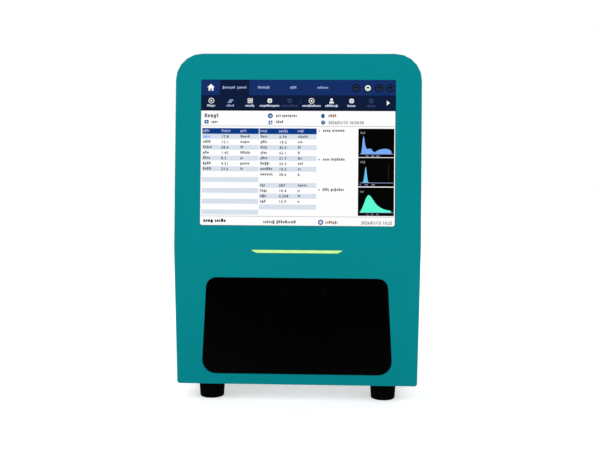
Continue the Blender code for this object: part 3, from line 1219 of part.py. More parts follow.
def bath_bracket():
    """A folded plate under the baths' flanges."""
    reach = BATH_RADIUS + BATH_FLANGE + BATH_PLATE_MARGIN
    top = BATH_TOP - BATH_FLANGE - GAP
    front, rear = FIRST_BATH_Y - reach, LAST_BATH_Y + reach
    holes = [circle(0, y, BATH_RADIUS + GAP) for y in (FIRST_BATH_Y, LAST_BATH_Y)]
    plate = slab("bath_bracket", [rectangle(-reach, SEAT_X, front, rear, BATH_PLATE_MARGIN / 2), *holes],
                 top - PLATE_SHEET, top, "Z")
    fuse(plate, block("bath_fold", (SEAT_X - PLATE_SHEET, front + BATH_PLATE_MARGIN, top - SINK),
                      (SEAT_X, rear - BATH_PLATE_MARGIN, top + BATH_RADIUS)))
    return finish(plate, zinc)


def syringe(kind, y, bore, body):
    """A glass barrel, its plunger and the motor that draws the plunger's screw down."""
    foot_z = SYRINGE_SHELF_Z + GAP
    top = foot_z + SYRINGE_BARREL_LENGTH
    outer = bore + GLASS_WALL
    roof = top - 2 * GLASS_WALL
    nozzle = outer / 3
    barrel = turned(kind + "_syringe", [
        (nozzle, top + 3 * GLASS_WALL), (nozzle, top), (outer, top), (outer, foot_z + 2 * GLASS_WALL),
        (outer + GLASS_WALL, foot_z + 2 * GLASS_WALL), (outer + GLASS_WALL, foot_z), (bore, foot_z),
        (bore, roof), (nozzle / 2, roof), (nozzle / 2, top + 3 * GLASS_WALL)],
        (SYRINGE_X, y, 0), sides=SMALL_SIDES)
    finish(barrel, glass)
    piston_top = roof - GLASS_WALL
    motor_z = SYRINGE_SHELF_Z - SYRINGE_SHELF_SPACING - PLATE_SHEET - GAP
    rod_low = motor_z + PLATE_SHEET + GAP - MOTOR_LENGTH - 0.3 * SYRINGE_STROKE
    rod_radius = min(SYRINGE_ROD_RADIUS, bore - 2 * GAP)
    plunger = turned(kind + "_plunger", [
        (0, piston_top), (bore - GAP, piston_top), (bore - GAP, piston_top - PISTON_LENGTH),
        (rod_radius, piston_top - PISTON_LENGTH), (rod_radius, rod_low), (0, rod_low)],
        (SYRINGE_X, y, 0), sides=SMALL_SIDES)
    finish(plunger, steel, body)
    finish(stepper(kind + "_motor", SYRINGE_X, y, motor_z, "Z", -1, through=True), motor_black)


def syringe_bracket():
    """A folded bracket: the barrels stand on its upper shelf, and the motors hang under its lower one."""
    left = SYRINGE_X - MOTOR_SIZE / 2
    high, low = SYRINGE_SHELF_Z, SYRINGE_SHELF_Z - SYRINGE_SHELF_SPACING
    sheet = PLATE_SHEET
    section = [(left, low - sheet), (SEAT_X, low - sheet), (SEAT_X, high), (left, high), (left, high - sheet),
               (SEAT_X - sheet, high - sheet), (SEAT_X - sheet, low), (left, low)]
    front = SYRINGE_Y - MOTOR_SIZE / 2
    bracket = slab("syringe_bracket", [[Vector(point) for point in section]],
                   front, front + SYRINGE_SPACING + MOTOR_SIZE)
    cut(bracket, *[rod("rod_hole", (SYRINGE_X, y, low - THROUGH), (SYRINGE_X, y, high + THROUGH),
                       SYRINGE_ROD_RADIUS + 3 * GAP) for y in (SYRINGE_Y, SYRINGE_Y + SYRINGE_SPACING)])
    return finish(bracket, zinc)


def valve_manifold():
    """A clear block with a row of solenoid valves on its face."""
    left = SEAT_X - MANIFOLD_THICKNESS
    manifold = block("valve_manifold", (left, MANIFOLD_FRONT, MANIFOLD_Z),
                     (SEAT_X, MANIFOLD_REAR, MANIFOLD_Z + MANIFOLD_HEIGHT))
    middle = MANIFOLD_Z + MANIFOLD_HEIGHT / 2
    pitch = (MANIFOLD_REAR - MANIFOLD_FRONT) / VALVES
    for valve in range(VALVES):
        y = MANIFOLD_FRONT + pitch * valve + pitch / 2
        fuse(manifold, rod("valve", (left + SINK, y, middle), (left - VALVE_LENGTH, y, middle),
                           VALVE_RADIUS, 12))
    return finish(manifold, ivory)


def waste_pump():
    """A diaphragm pump: a square head on the base, and a round motor behind it."""
    x, half = -PUMP_OFFSET, PUMP_HEAD_SIZE / 2
    rear = REAR_INNER - PUMP_REAR_MARGIN
    head_front = rear - PUMP_LENGTH - PUMP_HEAD_LENGTH
    low = BASE_TOP + GAP
    pump = slab("waste_pump", [rectangle(x - half, x + half, low, low + PUMP_HEAD_SIZE, half / 5)],
                head_front, head_front + PUMP_HEAD_LENGTH)
    middle, high = low + half, low + PUMP_HEAD_SIZE
    barb_y = head_front + PUMP_HEAD_LENGTH / 2
    barbs = [rod("pump_barb", (barb_x, barb_y, high - SINK), (barb_x, barb_y, high + half / 2), half / 8, 8)
             for barb_x in (x - half / 2, x + half / 2)]
    motor = rod("pump_motor", (x, head_front + PUMP_HEAD_LENGTH - SINK, middle), (x, rear, middle),
                PUMP_RADIUS)
    fuse(pump, motor, *barbs)
    return finish(pump, dark_grey)


def reagent_bottle():
    """A square bottle with its ribbed cap."""
    left = -COVER_INNER + BOTTLE_SIDE_MARGIN
    front = CREASE_Y + BOTTLE_SETBACK
    low, top = BASE_TOP + GAP, BASE_TOP + GAP + BOTTLE_HEIGHT
    x, y = left + BOTTLE_WIDTH / 2, front + BOTTLE_LENGTH / 2
    bottle = slab("lyse_bottle", [centred(x, y, BOTTLE_WIDTH, BOTTLE_LENGTH, BOTTLE_CORNER)], low, top, "Z")
    shoulder = bottle.modifiers.new("shoulder", "BEVEL")
    shoulder.width = BOTTLE_CORNER / 3
    shoulder.segments = 2
    shoulder.angle_limit = math.radians(60)
    fuse(bottle, rod("bottle_neck", (x, y, top - SINK), (x, y, top + BOTTLE_NECK_HEIGHT),
                     BOTTLE_NECK_RADIUS, 24))
    finish(bottle, natural)
    ribs = []
    for rib in range(CAP_RIBS * 2):
        radius = CAP_RADIUS * (1 if rib % 2 else 0.96)
        for edge in (-0.4, 0.4):
            angle = math.tau * (rib + edge) / (CAP_RIBS * 2)
            ribs.append(Vector((x + radius * math.cos(angle), y + radius * math.sin(angle))))
    cap_z = top + GAP
    cap = slab("bottle_cap", [ribs], cap_z, cap_z + CAP_HEIGHT, "Z")
    cut(cap, rod("cap_bore", (x, y, cap_z - THROUGH), (x, y, top + BOTTLE_NECK_HEIGHT + GAP),
                 BOTTLE_NECK_RADIUS + GAP, 24))
    return finish(cap, blue)


# Electronics

def main_board():
    """The board on its standoffs, with its larger components."""
    left = PARTITION_RIGHT + GAP + STANDOFF_LENGTH
    face = left + BOARD_THICKNESS
    front, rear = CREASE_Y + MAIN_BOARD_SETBACK, CREASE_Y + MAIN_BOARD_SETBACK + MAIN_BOARD_LENGTH
    low, high = MAIN_BOARD_Z, BELT_Z - MOTOR_SIZE / 2 - 2 * STANDOFF_RADIUS
    board = block("main_board", (left, front, low), (face, rear, high))
    edge = 2 * STANDOFF_RADIUS
    posts = [rod("standoff", (PARTITION_RIGHT + GAP, y, z), (left + SINK, y, z), STANDOFF_RADIUS, 6)
             for y in (front + edge, rear - edge) for z in (low + edge, high - edge)]
    length, height = rear - front, high - low
    shares = ((0.10, 0.62, 0.20, 0.24, 0.5), (0.42, 0.50, 0.26, 0.30, 1.0), (0.78, 0.10, 0.10, 0.80, 0.75),
              (0.10, 0.10, 0.45, 0.10, 0.8), (0.12, 0.30, 0.16, 0.16, 0.35))
    chips = [block("component", (face - SINK, front + length * y, low + height * z),
                   (face + COMPONENT_HEIGHT * thick, front + length * (y + wide), low + height * (z + tall)))
             for y, z, wide, tall, thick in shares]
    fuse(board, *posts, *chips)
    return finish(board, green)


def power_supply():
    """A closed metal box on the base, with a slotted lid."""
    rear = REAR_INNER - SUPPLY_REAR_MARGIN
    low, high = BASE_TOP + GAP, BASE_TOP + GAP + SUPPLY_HEIGHT
    box = block("power_supply", (SUPPLY_LEFT, rear - SUPPLY_LENGTH, low), (SUPPLY_RIGHT, rear, high))
    edge = SUPPLY_SIDE_ROOM
    slots = [block("supply_slot", (SUPPLY_LEFT + edge, y, high - VENT_WIDTH),
                   (SUPPLY_RIGHT - edge, y + VENT_WIDTH, high + THROUGH))
             for y in (rear - SUPPLY_LENGTH * (slot + 1) / 8 for slot in range(6))]
    cut(box, *slots)
    return finish(box, aluminium)


# Fan and rear fittings

def fan(body):
    """The fan's frame with its spokes and stub shaft, the bladed rotor, and the wire guard."""
    x, z, half = FITTING_X, FAN_Z, FAN_SIZE / 2
    frame = slab("fan_frame", [centred(x, z, FAN_SIZE, FAN_SIZE, half / 6), circle(x, z, FAN_BORE)],
                 FAN_FRONT, FAN_REAR)
    reach = FAN_BORE + FAN_RING / 2
    thick = FAN_STRUT / 2
    near, far = FAN_FRONT + GAP, FAN_FRONT + FAN_STRUT
    spokes = [block("fan_spoke", (x - reach, near, z - thick), (x + reach, far, z + thick)),
              block("fan_spoke", (x - thick, near, z - reach), (x + thick, far, z + reach))]
    hub = rod("fan_mount", (x, FAN_FRONT, z), (x, far + GAP, z), FAN_HUB_RADIUS, 24)
    stub_end = FAN_FRONT + FAN_STUB_LENGTH
    stub = rod("fan_stub", (x, FAN_FRONT + thick, z), (x, stub_end, z), thick, 12)
    fuse(frame, *spokes, hub, stub)
    finish(frame, black_matt)
    start = far + 3 * GAP
    end = FAN_REAR - 4 * GAP
    rotor = rod("fan_rotor", (x, start, z), (x, end, z), FAN_HUB_RADIUS, 24)
    tip = FAN_BORE - FAN_TIP_GAP
    width = (end - start) * 1.15
    root = FAN_HUB_RADIUS - 2 * SINK
    for blade_number in range(FAN_BLADES):
        blade = block("fan_blade", (-width / 2, -GAP * 2, root), (width / 2, GAP * 2, tip))
        middle = (root + tip) / 2
        for vertex in blade.data.vertices:
            pitch = math.radians(38 if vertex.co.z < 0 else 56)
            vertex.co = Matrix.Rotation(pitch, 3, "Z") @ vertex.co
        spin = Matrix.Rotation(math.tau * blade_number / FAN_BLADES, 4, "Y")
        blade.matrix_world = (Matrix.Translation((x, (start + end) / 2, z)) @ spin
                              @ Matrix.Translation((0, 0, middle)))
        fuse(rotor, blade)
    cut(rotor, rod("rotor_bore", (x, start - THROUGH, z), (x, stub_end + GAP, z), thick + GAP, 12))
    finish(rotor, black_matt, body)
    guard = ring("fan_guard", x, z, FAN_BORE)
    fuse(guard, *[ring("guard_ring", x, z, FAN_BORE * share) for share in (0.34, 0.67)])
    wire_y = REAR_FACE + GAP + 2 * GUARD_WIRE
    centre = Vector((x, wire_y, z))
    for angle in (45, 135):
        turn = Matrix.Rotation(math.radians(angle), 3, "Y")
        reach = turn @ Vector((FAN_BORE + GUARD_WIRE, 0, 0))
        fuse(guard, rod("guard_spoke", centre - reach, centre + reach, GUARD_WIRE, 6))
    return finish(guard, chrome)


def ring(name, x, z, radius):
    """A closed ring of wire just behind the rear panel."""
    bpy.ops.mesh.primitive_torus_add(major_segments=18, minor_segments=5, major_radius=radius,
                                     minor_radius=GUARD_WIRE)
    made = bpy.context.active_object
    made.name = name
    for holder in made.users_collection:
        holder.objects.unlink(made)
    parts.objects.link(made)
    made.matrix_world = (Matrix.Translation((x, REAR_FACE + GAP + GUARD_WIRE, z))
                         @ Matrix.Rotation(math.radians(90), 4, "X"))
    return made


def power_inlet():
    """A mains inlet: flange, body, keyed recess and three pins."""
    x, z = FITTING_X, INLET_Z
    front = REAR_FACE + GAP
    inlet = slab("power_inlet", [centred(x, z, INLET_FLANGE, INLET_HEIGHT + 2 * INLET_WALL, INLET_CORNER)],
                 front, front + INLET_WALL)
    body = slab("inlet_body", [centred(x, z, INLET_WIDTH, INLET_HEIGHT)], front - INLET_DEPTH, front + SINK)
    wide, tall = INLET_WIDTH / 2 - INLET_WALL, INLET_HEIGHT / 2 - INLET_WALL
    key = INLET_CORNER
    recess = [(-wide, -tall), (wide, -tall), (wide, tall - key), (wide - key, tall), (key - wide, tall),
              (-wide, tall - key)]
    floor = front - INLET_DEPTH + INLET_WALL
    fuse(inlet, body)
    cut(inlet, slab("inlet_recess", [moved(recess, x, z)], floor, front + THROUGH))
    pins = [slab("inlet_pin", [centred(x + across, z + up, INLET_PIN_WIDTH, INLET_PIN_HEIGHT)],
                 floor - SINK, front - INLET_WALL)
            for across, up in ((-wide * 0.6, -tall / 4), (0, tall * 0.3), (wide * 0.6, -tall / 4))]
    fuse(inlet, *pins)
    return finish(inlet, black_matt)


def power_switch(body):
    """A rocker in its frame. The rocker turns on a pin across the frame."""
    x, z = FITTING_X, SWITCH_Z
    front = REAR_FACE + GAP
    rim = SWITCH_RIM
    frame = slab("switch_frame", [centred(x, z, SWITCH_WIDTH + 2 * rim, SWITCH_HEIGHT + 2 * rim, rim)],
                 front, front + rim)
    fuse(frame, slab("switch_body", [centred(x, z, SWITCH_WIDTH, SWITCH_HEIGHT)], front - SWITCH_DEPTH,
                     front + SINK))
    cut(frame, slab("switch_cavity", [centred(x, z, SWITCH_WIDTH - 2 * rim, SWITCH_HEIGHT - 2 * rim)],
                    front - SWITCH_DEPTH + rim, front + THROUGH))
    half = SWITCH_WIDTH / 2 - rim
    pin = half + rim * 0.4
    hole = pin + GAP
    cut(frame, rod("pin_hole", (x - hole, SWITCH_PIVOT_Y, z), (x + hole, SWITCH_PIVOT_Y, z),
                   rim / 2 + GAP, 12))
    finish(frame, black_matt)
    reach = (SWITCH_HEIGHT / 2 - rim) * 0.82
    section = [(1.1 * rim, reach), (0.5 * rim, 0), (1.1 * rim, -reach), (-0.5 * rim, -reach), (-2 * rim, 0),
               (-0.5 * rim, reach)]
    place = (Matrix.Translation((0, SWITCH_PIVOT_Y, z)) @ Matrix.Rotation(SWITCH_TILT, 4, "X"))
    rocker = slab("switch_rocker", [[Vector(point) for point in section]],
                  x - half + GAP, x + half - GAP, "X", place)
    fuse(rocker, rod("rocker_pin", (x - pin, SWITCH_PIVOT_Y, z), (x + pin, SWITCH_PIVOT_Y, z), rim / 2, 12))
    return finish(rocker, black_gloss, body)


def reagent_ports():
    """A plate with barbed hose fittings that pass through the rear panel."""
    places = port_places()
    front = REAR_FACE + GAP
    middle = (places[0] + places[-1]) / 2
    width = abs(places[-1] - places[0]) + PORT_PLATE_HEIGHT
    plate = slab("reagent_ports", [centred(middle, PORT_Z, width, PORT_PLATE_HEIGHT, PORT_RADIUS)],
                 front, front + PORT_PLATE)
    inner, outer = REAR_INNER - PORT_RADIUS, REAR_Y + CONNECTOR_REACH
    step = (outer - front - PORT_PLATE) / 4
    barb, neck = PORT_BARB_RADIUS, PORT_NECK_RADIUS
    profile = [(0, outer), (neck, outer), (barb, outer - step), (neck, outer - step),
               (barb, outer - 2 * step), (neck, outer - 2 * step), (neck, outer - 3 * step),
               (PORT_RADIUS, outer - 3 * step), (PORT_RADIUS, inner), (0, inner)]
    for x in places:
        fuse(plate, turned("port_fitting", profile, (x, 0, PORT_Z), "Y", 10))
    cut(plate, *[rod("port_bore", (x, inner - THROUGH, PORT_Z), (x, outer + THROUGH, PORT_Z), PORT_BORE, 6)
                 for x in places])
    return finish(plate, light_grey)


def data_sockets():
    """One metal shell with a row of sockets."""
    x, z = FITTING_X, DATA_Z
    back = REAR_INNER - DATA_DEPTH
    shell = slab("data_sockets", [centred(x, z, DATA_WIDTH, DATA_HEIGHT)], back, REAR_FACE + 3 * GAP)
    cell = DATA_WIDTH / DATA_SOCKETS
    wall = DATA_HEIGHT / 10
    middles = [x + cell * (socket - (DATA_SOCKETS - 1) / 2) for socket in range(DATA_SOCKETS)]
    pockets = [slab("socket_pocket", [centred(middle, z, cell - 2 * wall, DATA_HEIGHT - 2 * wall)],
                    back + DATA_DEPTH / 3, REAR_FACE + THROUGH) for middle in middles]
    cut(shell, *pockets)
    tongues = [slab("socket_tongue", [centred(middle, z, cell / 2, wall)], back + DATA_DEPTH / 4, REAR_INNER)
               for middle in middles]
    fuse(shell, *tongues)
    return finish(shell, aluminium)


# The whole machine

for old in list(bpy.data.objects):
    bpy.data.objects.remove(old)
parts = bpy.data.collections.new("hematology_analyzer")
cutters = bpy.data.collections.new("cutters")
bpy.context.scene.collection.children.link(parts)
bpy.context.scene.collection.children.link(cutters)

teal = surface("teal moulding", (0.0024, 0.238, 0.266), 0.42)
black_gloss = surface("black gloss", (0.004, 0.004, 0.005), 0.12)
black_matt = surface("black plastic", (0.012, 0.012, 0.013), 0.5)
dark_grey = surface("dark plastic", (0.04, 0.04, 0.045), 0.55)
light_grey = surface("light plastic", (0.55, 0.57, 0.58), 0.45)
ivory = surface("white acetal", (0.8, 0.79, 0.74), 0.35)
acetal = surface("natural acetal", (0.72, 0.71, 0.68), 0.4)
glass = surface("glass", (0.75, 0.82, 0.85), 0.05)
amber = surface("amber polymer", (0.55, 0.3, 0.08), 0.2)
natural = surface("bottle plastic", (0.8, 0.8, 0.76), 0.4)
blue = surface("blue cap", (0.02, 0.12, 0.45), 0.45)
lime = surface("lime light", (0.68, 1.0, 0.3), 0.3)
rubber = surface("black rubber", (0.008, 0.008, 0.008), 0.75)
off_white = surface("painted steel", (0.76, 0.77, 0.76), 0.45)
zinc = surface("zinc plated steel", (0.6, 0.61, 0.62), 0.35, 1.0)
steel = surface("ground steel", (0.62, 0.62, 0.63), 0.22, 1.0)
chrome = surface("chrome wire", (0.7, 0.7, 0.72), 0.12, 1.0)
aluminium = surface("aluminium", (0.7, 0.71, 0.72), 0.35, 1.0)
cast_grey = surface("cast aluminium", (0.48, 0.49, 0.5), 0.5, 1.0)
dark_metal = surface("dark metal", (0.1, 0.1, 0.11), 0.5, 1.0)
motor_black = surface("motor steel", (0.03, 0.03, 0.032), 0.4, 0.6)
green = surface("circuit board", (0.01, 0.13, 0.05), 0.4)

tray_slide = axis_empty("tray_slide", (0, TUBE_Y, TRAY_Z))
tray_gear_axis = axis_empty("tray_gear_axis", (PINION_X, PINION_Y, TRAY_Z))
carriage_slide = axis_empty("carriage_slide", (RAIL_LEFT, BAR_Y, RAIL_Z))
probe_slide = axis_empty("probe_slide", (BAR_FRONT, BAR_Y, BAR_LOW), carriage_slide)
probe_gear_axis = axis_empty("probe_gear_axis", (PROBE_PINION_X, BAR_Y, PROBE_PINION_Z), carriage_slide)
drive_pulley_axis = axis_empty("drive_pulley_axis", (BELT_X, DRIVE_Y, BELT_Z))
idler_pulley_axis = axis_empty("idler_pulley_axis", (BELT_X, IDLER_Y, BELT_Z))
diluent_slide = axis_empty("diluent_slide", (SYRINGE_X, SYRINGE_Y, SYRINGE_SHELF_Z))
sample_slide = axis_empty("sample_slide", (SYRINGE_X, SYRINGE_Y + SYRINGE_SPACING, SYRINGE_SHELF_Z))
door_axis = axis_empty("door_axis", (HINGE_X, DOOR_REAR, DOOR_LOW))
fan_axis = axis_empty("fan_axis", (FITTING_X, FAN_REAR, FAN_Z))
switch_axis = axis_empty("switch_axis", (FITTING_X, SWITCH_PIVOT_Y, SWITCH_Z))

front_bezel()
display()
light_bar()
bay_panel()
sample_tray(tray_slide)
tube_holder(tray_slide)
tray_guide()
bay_liner()
tray_drive(tray_gear_axis)
for name, side, y in (("front_left_foot", -1, CREASE_Y + FRONT_FOOT_SETBACK),
                      ("front_right_foot", 1, CREASE_Y + FRONT_FOOT_SETBACK),
                      ("rear_left_foot", -1, REAR_Y - REAR_FOOT_SETBACK),
                      ("rear_right_foot", 1, REAR_Y - REAR_FOOT_SETBACK)):
    foot(name, side * FOOT_X, y)
base_plate()
main_cover()
service_door(door_axis)
for position, hinge_z in HINGE_HEIGHTS.items():
    door_hinge("door_hinge_" + position, hinge_z)
rear_panel()
partition_plate()
carriage_rail()
probe_carriage(carriage_slide)
probe_lift(probe_slide, probe_gear_axis)
belt_drive(drive_pulley_axis, idler_pulley_axis)
bath("first_bath", FIRST_BATH_Y)
bath("second_bath", LAST_BATH_Y)
bath_bracket()
syringe_bracket()
syringe("diluent", SYRINGE_Y, DILUENT_BORE, diluent_slide)
syringe("sample", SYRINGE_Y + SYRINGE_SPACING, SAMPLE_BORE, sample_slide)
valve_manifold()
waste_pump()
reagent_bottle()
main_board()
power_supply()
fan(fan_axis)
power_inlet()
power_switch(switch_axis)
reagent_ports()
data_sockets()
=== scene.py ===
# %% [markdown]
# # Dressing a hematology analyzer
# A hematology analyzer counts and sizes the cells in a drop of blood. This one stands on a bench: a creased teal
# front cover holds a touch display above and a glossy black sample bay below, and a painted steel case behind it
# holds the fluid parts. The solid parts come from the imported model, in metres, each where it belongs. Here they
# get their finishes, the display gets its picture, and small things such as screws are added.
#
# The first step loads the imported model.

import json
import math
import random

import bmesh
import bpy
from mathutils import Matrix, Vector


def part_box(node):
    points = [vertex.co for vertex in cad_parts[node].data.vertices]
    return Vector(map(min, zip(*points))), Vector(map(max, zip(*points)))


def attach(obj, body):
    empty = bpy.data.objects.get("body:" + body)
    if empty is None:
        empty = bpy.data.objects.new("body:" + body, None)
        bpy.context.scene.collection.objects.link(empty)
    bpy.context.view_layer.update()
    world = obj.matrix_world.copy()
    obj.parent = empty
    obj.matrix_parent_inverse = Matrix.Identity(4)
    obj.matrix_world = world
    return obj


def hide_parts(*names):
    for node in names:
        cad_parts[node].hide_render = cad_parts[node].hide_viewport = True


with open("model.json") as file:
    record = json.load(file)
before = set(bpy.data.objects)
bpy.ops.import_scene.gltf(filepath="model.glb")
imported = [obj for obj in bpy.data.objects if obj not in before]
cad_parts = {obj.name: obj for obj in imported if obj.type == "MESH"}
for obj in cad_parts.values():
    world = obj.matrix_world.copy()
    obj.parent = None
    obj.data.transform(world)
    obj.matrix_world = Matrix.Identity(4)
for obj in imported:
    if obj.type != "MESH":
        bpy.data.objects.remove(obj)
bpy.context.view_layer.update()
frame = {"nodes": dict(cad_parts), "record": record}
nodes = frame["nodes"]

# %% [markdown]
# ## The camera
# The analyzer is seen from the front, from a little to the right and a little above the middle of the display.
# A camera is four facts: where it stands, which way it looks, how far it is rolled, and its lens. Blender can aim
# a camera with a constraint, but writing its three axes one by one keeps the small roll exact.

# %% Place the camera
CAMERA_PLACE = Vector((0.0302, -1.0434, 0.2586))
YAW, PITCH, ROLL = math.radians(1.84), math.radians(4.5), math.radians(0.33)
LENS = 46.88

forward = Vector((-math.sin(YAW) * math.cos(PITCH), math.cos(YAW) * math.cos(PITCH), -math.sin(PITCH)))
level_right = Vector((math.cos(YAW), math.sin(YAW), 0))
level_up = level_right.cross(forward)
right = level_right * math.cos(ROLL) + level_up * math.sin(ROLL)
up = level_up * math.cos(ROLL) - level_right * math.sin(ROLL)


def put_in_scene(name, data):
    """An object for data, linked to the scene."""
    made = bpy.data.objects.new(name, data)
    bpy.context.scene.collection.objects.link(made)
    return made


camera_data = bpy.data.cameras.new("camera")
camera_data.lens = LENS
camera_data.sensor_width = 36
camera_data.clip_start = 0.05
camera = put_in_scene("camera", camera_data)
camera.matrix_world = Matrix((
    (right.x, up.x, -forward.x, CAMERA_PLACE.x),
    (right.y, up.y, -forward.y, CAMERA_PLACE.y),
    (right.z, up.z, -forward.z, CAMERA_PLACE.z),
    (0, 0, 0, 1)))
bpy.context.scene.camera = camera
print("camera height in mm:", round(CAMERA_PLACE.z * 1000, 1))

# %% [markdown]
# ## Light, floor and background
# A product is photographed in a white tent: light comes softly from everywhere, and one larger lamp gives the
# shapes a bright side. The world plays the tent. What the camera sees of it is plain white, and what lights the
# object is a little weaker, so that a colour comes out about as it was written. The Light Path node tells the two
# apart. The floor does the same, so it looks white and still takes the object's shadow.

# %% A helper for shader nodes
def set_inputs(node, values):
    """Sets inputs that are the same all over. values is {input: value}."""
    for title, value in values.items():
        node.inputs[title].default_value = value


def add_node(tree, kind, place=(0, 0), inputs=None, **settings):
    """Adds a node, sets its properties and plain inputs, and moves it so that the tree can be read."""
    node = tree.nodes.new(kind)
    node.location = place
    for name, value in settings.items():
        setattr(node, name, value)
    set_inputs(node, inputs or {})
    return node


def join(tree, *links):
    """Makes links of (node, output, node, input). A socket may stand for the first node and its output."""
    for *source, node, title in links:
        start = source[0].outputs[source[1]] if len(source) == 2 else source[0]
        tree.links.new(start, node.inputs[title])


def principled(material):
    return material.node_tree.nodes["Principled BSDF"]


def seen_mask(tree, place):
    """1 where a ray comes from the camera, a mirror or a glass, and 0 where it gathers light."""
    rays = add_node(tree, "ShaderNodeLightPath", place)
    mirror = add_node(tree, "ShaderNodeMath", (place[0] + 180, place[1]), operation="MAXIMUM")
    glass = add_node(tree, "ShaderNodeMath", (place[0] + 360, place[1]), operation="MAXIMUM")
    join(tree, (rays, "Is Camera Ray", mirror, 0), (rays, "Is Glossy Ray", mirror, 1), (mirror, 0, glass, 0),
         (rays, "Is Transmission Ray", glass, 1))
    return glass.outputs[0]


# %% The white world
TENT_LIGHT = 0.82
bpy.context.scene.view_settings.view_transform = "Standard"

world = bpy.data.worlds.new("white tent")
bpy.context.scene.world = world
world.use_nodes = True
tree = world.node_tree
tree.nodes.clear()
tent = add_node(tree, "ShaderNodeBackground", (0, 100),
                inputs={"Color": (0.97, 0.985, 1, 1), "Strength": TENT_LIGHT})
backdrop = add_node(tree, "ShaderNodeBackground", (0, -100), inputs={"Color": (1, 1, 1, 1), "Strength": 1})
choice = add_node(tree, "ShaderNodeMixShader", (200, 0))
shown = add_node(tree, "ShaderNodeOutputWorld", (400, 0))
join(tree, (seen_mask(tree, (-600, 300)), choice, 0), (tent, 0, choice, 1), (backdrop, 0, choice, 2),
     (choice, 0, shown, "Surface"))
print("light of the tent:", TENT_LIGHT)


# %% Two soft lamps
def soft_lamp(name, place, target, size, power):
    """A square lamp that faces a point."""
    lamp = bpy.data.lights.new(name, "AREA")
    lamp.shape = "SQUARE"
    lamp.size = size
    lamp.energy = power
    lamp_object = put_in_scene(name, lamp)
    facing = (Vector(target) - Vector(place)).to_track_quat("-Z", "Y")
    lamp_object.matrix_world = Matrix.LocRotScale(Vector(place), facing, None)
    lamp_object.visible_camera = False


soft_lamp("key lamp", (-1.3, -1.7, 1.9), (0, 0, 0.2), 1.4, 16)
soft_lamp("rear lamp", (1.2, 1.6, 1.5), (0, 0, 0.2), 1.2, 7)

# %% The pale floor
floor_mesh = bpy.data.meshes.new("floor")
floor_mesh.from_pydata([(-6, -6, 0), (6, -6, 0), (6, 6, 0), (-6, 6, 0)], [], [(0, 1, 2, 3)])
floor = put_in_scene("floor", floor_mesh)
paper = bpy.data.materials.new("white paper")
paper.use_nodes = True
tree, sheet = paper.node_tree, principled(paper)
set_inputs(sheet, {"Roughness": 0.9, "Specular IOR Level": 0.1, "Base Color": (0.93, 0.93, 0.93, 1),
                   "Emission Color": (1, 1, 1, 1)})
lift = add_node(tree, "ShaderNodeMath", (-300, -200), operation="MULTIPLY", inputs={1: 0.40})
join(tree, (seen_mask(tree, (-1000, -200)), lift, 0), (lift, 0, sheet, "Emission Strength"))
floor_mesh.materials.append(paper)
print("floor is stage, not part of the object")

# %% [markdown]
# ## Effects that many finishes share
# No real surface has one flat colour. A moulding carries the fine texture of its mould, sheet metal its rolling
# marks, and every edge is a little round and catches light. Each effect is made once as a node group and placed
# in every finish that has it, with that finish's own sizes. A group hands out only numbers, colours and normals,
# and the shader itself stays in each material.

# %% A helper for node groups
SOCKETS = {float: "NodeSocketFloat", tuple: "NodeSocketColor"}


def new_group(name, inputs, outputs):
    """An empty shader group. inputs is {name: value}, outputs is {name: socket kind}."""
    tree = bpy.data.node_groups.new(name, "ShaderNodeTree")
    for title, value in inputs.items():
        socket = tree.interface.new_socket(title, in_out="INPUT", socket_type=SOCKETS[type(value)])
        socket.default_value = value
    for title, kind in outputs.items():
        tree.interface.new_socket(title, in_out="OUTPUT", socket_type=kind)
    entry = add_node(tree, "NodeGroupInput", (-800, 0))
    end = add_node(tree, "NodeGroupOutput", (800, 0))
    return tree, entry, end


# %% Moulded grain
# Noise on Object coordinates. Its scale is in waves a metre, so 2000 gives a grain of about half a millimetre.
tree, entry, end = new_group(
    "moulded grain", {"Waves per metre": 2000.0, "Stretch": 1.0},
    {"Height": "NodeSocketFloat", "Tone": "NodeSocketFloat"})
place = add_node(tree, "ShaderNodeTexCoord", (-800, 300))
stretch = add_node(tree, "ShaderNodeCombineXYZ", (-600, 150), inputs={"Y": 1.0})
along = add_node(tree, "ShaderNodeVectorMath", (-400, 250), operation="MULTIPLY")
fine = add_node(tree, "ShaderNodeTexNoise", (-100, 200), inputs={"Detail": 2.0})
broad = add_node(tree, "ShaderNodeTexNoise", (-100, -100), inputs={"Detail": 3.0, "Scale": 22.0})
join(tree, (entry, "Stretch", stretch, "X"), (entry, "Stretch", stretch, "Z"), (place, "Object", along, 0),
     (stretch, 0, along, 1), (along, 0, fine, "Vector"), (entry, "Waves per metre", fine, "Scale"),
     (place, "Object", broad, "Vector"), (fine, "Fac", end, "Height"), (broad, "Fac", end, "Tone"))
grain_group = tree
print("group:", tree.name)

# %% Soft edges
# The Bevel node rounds the shading at an edge by a real radius. Where its normal turns away from the flat one,
# the surface is an edge, and the mask says how strongly. The finishes use this mask to paint their edges lighter,
# a painted highlight with some wear.
tree, entry, end = new_group(
    "soft edges", {"Radius": 0.0005}, {"Normal": "NodeSocketVector", "Edge": "NodeSocketFloat"})
rounded = add_node(tree, "ShaderNodeBevel", (-400, 100), samples=4)
flat = add_node(tree, "ShaderNodeNewGeometry", (-400, -150))
turn = add_node(tree, "ShaderNodeVectorMath", (-150, 0), operation="DOT_PRODUCT")
mask = add_node(tree, "ShaderNodeMapRange", (100, 0), inputs={"From Min": 0.995, "From Max": 0.85})
join(tree, (entry, "Radius", rounded, "Radius"), (rounded, 0, turn, 0), (flat, "Normal", turn, 1),
     (turn, "Value", mask, "Value"), (rounded, 0, end, "Normal"), (mask, 0, end, "Edge"))
edge_group = tree
print("group:", tree.name)

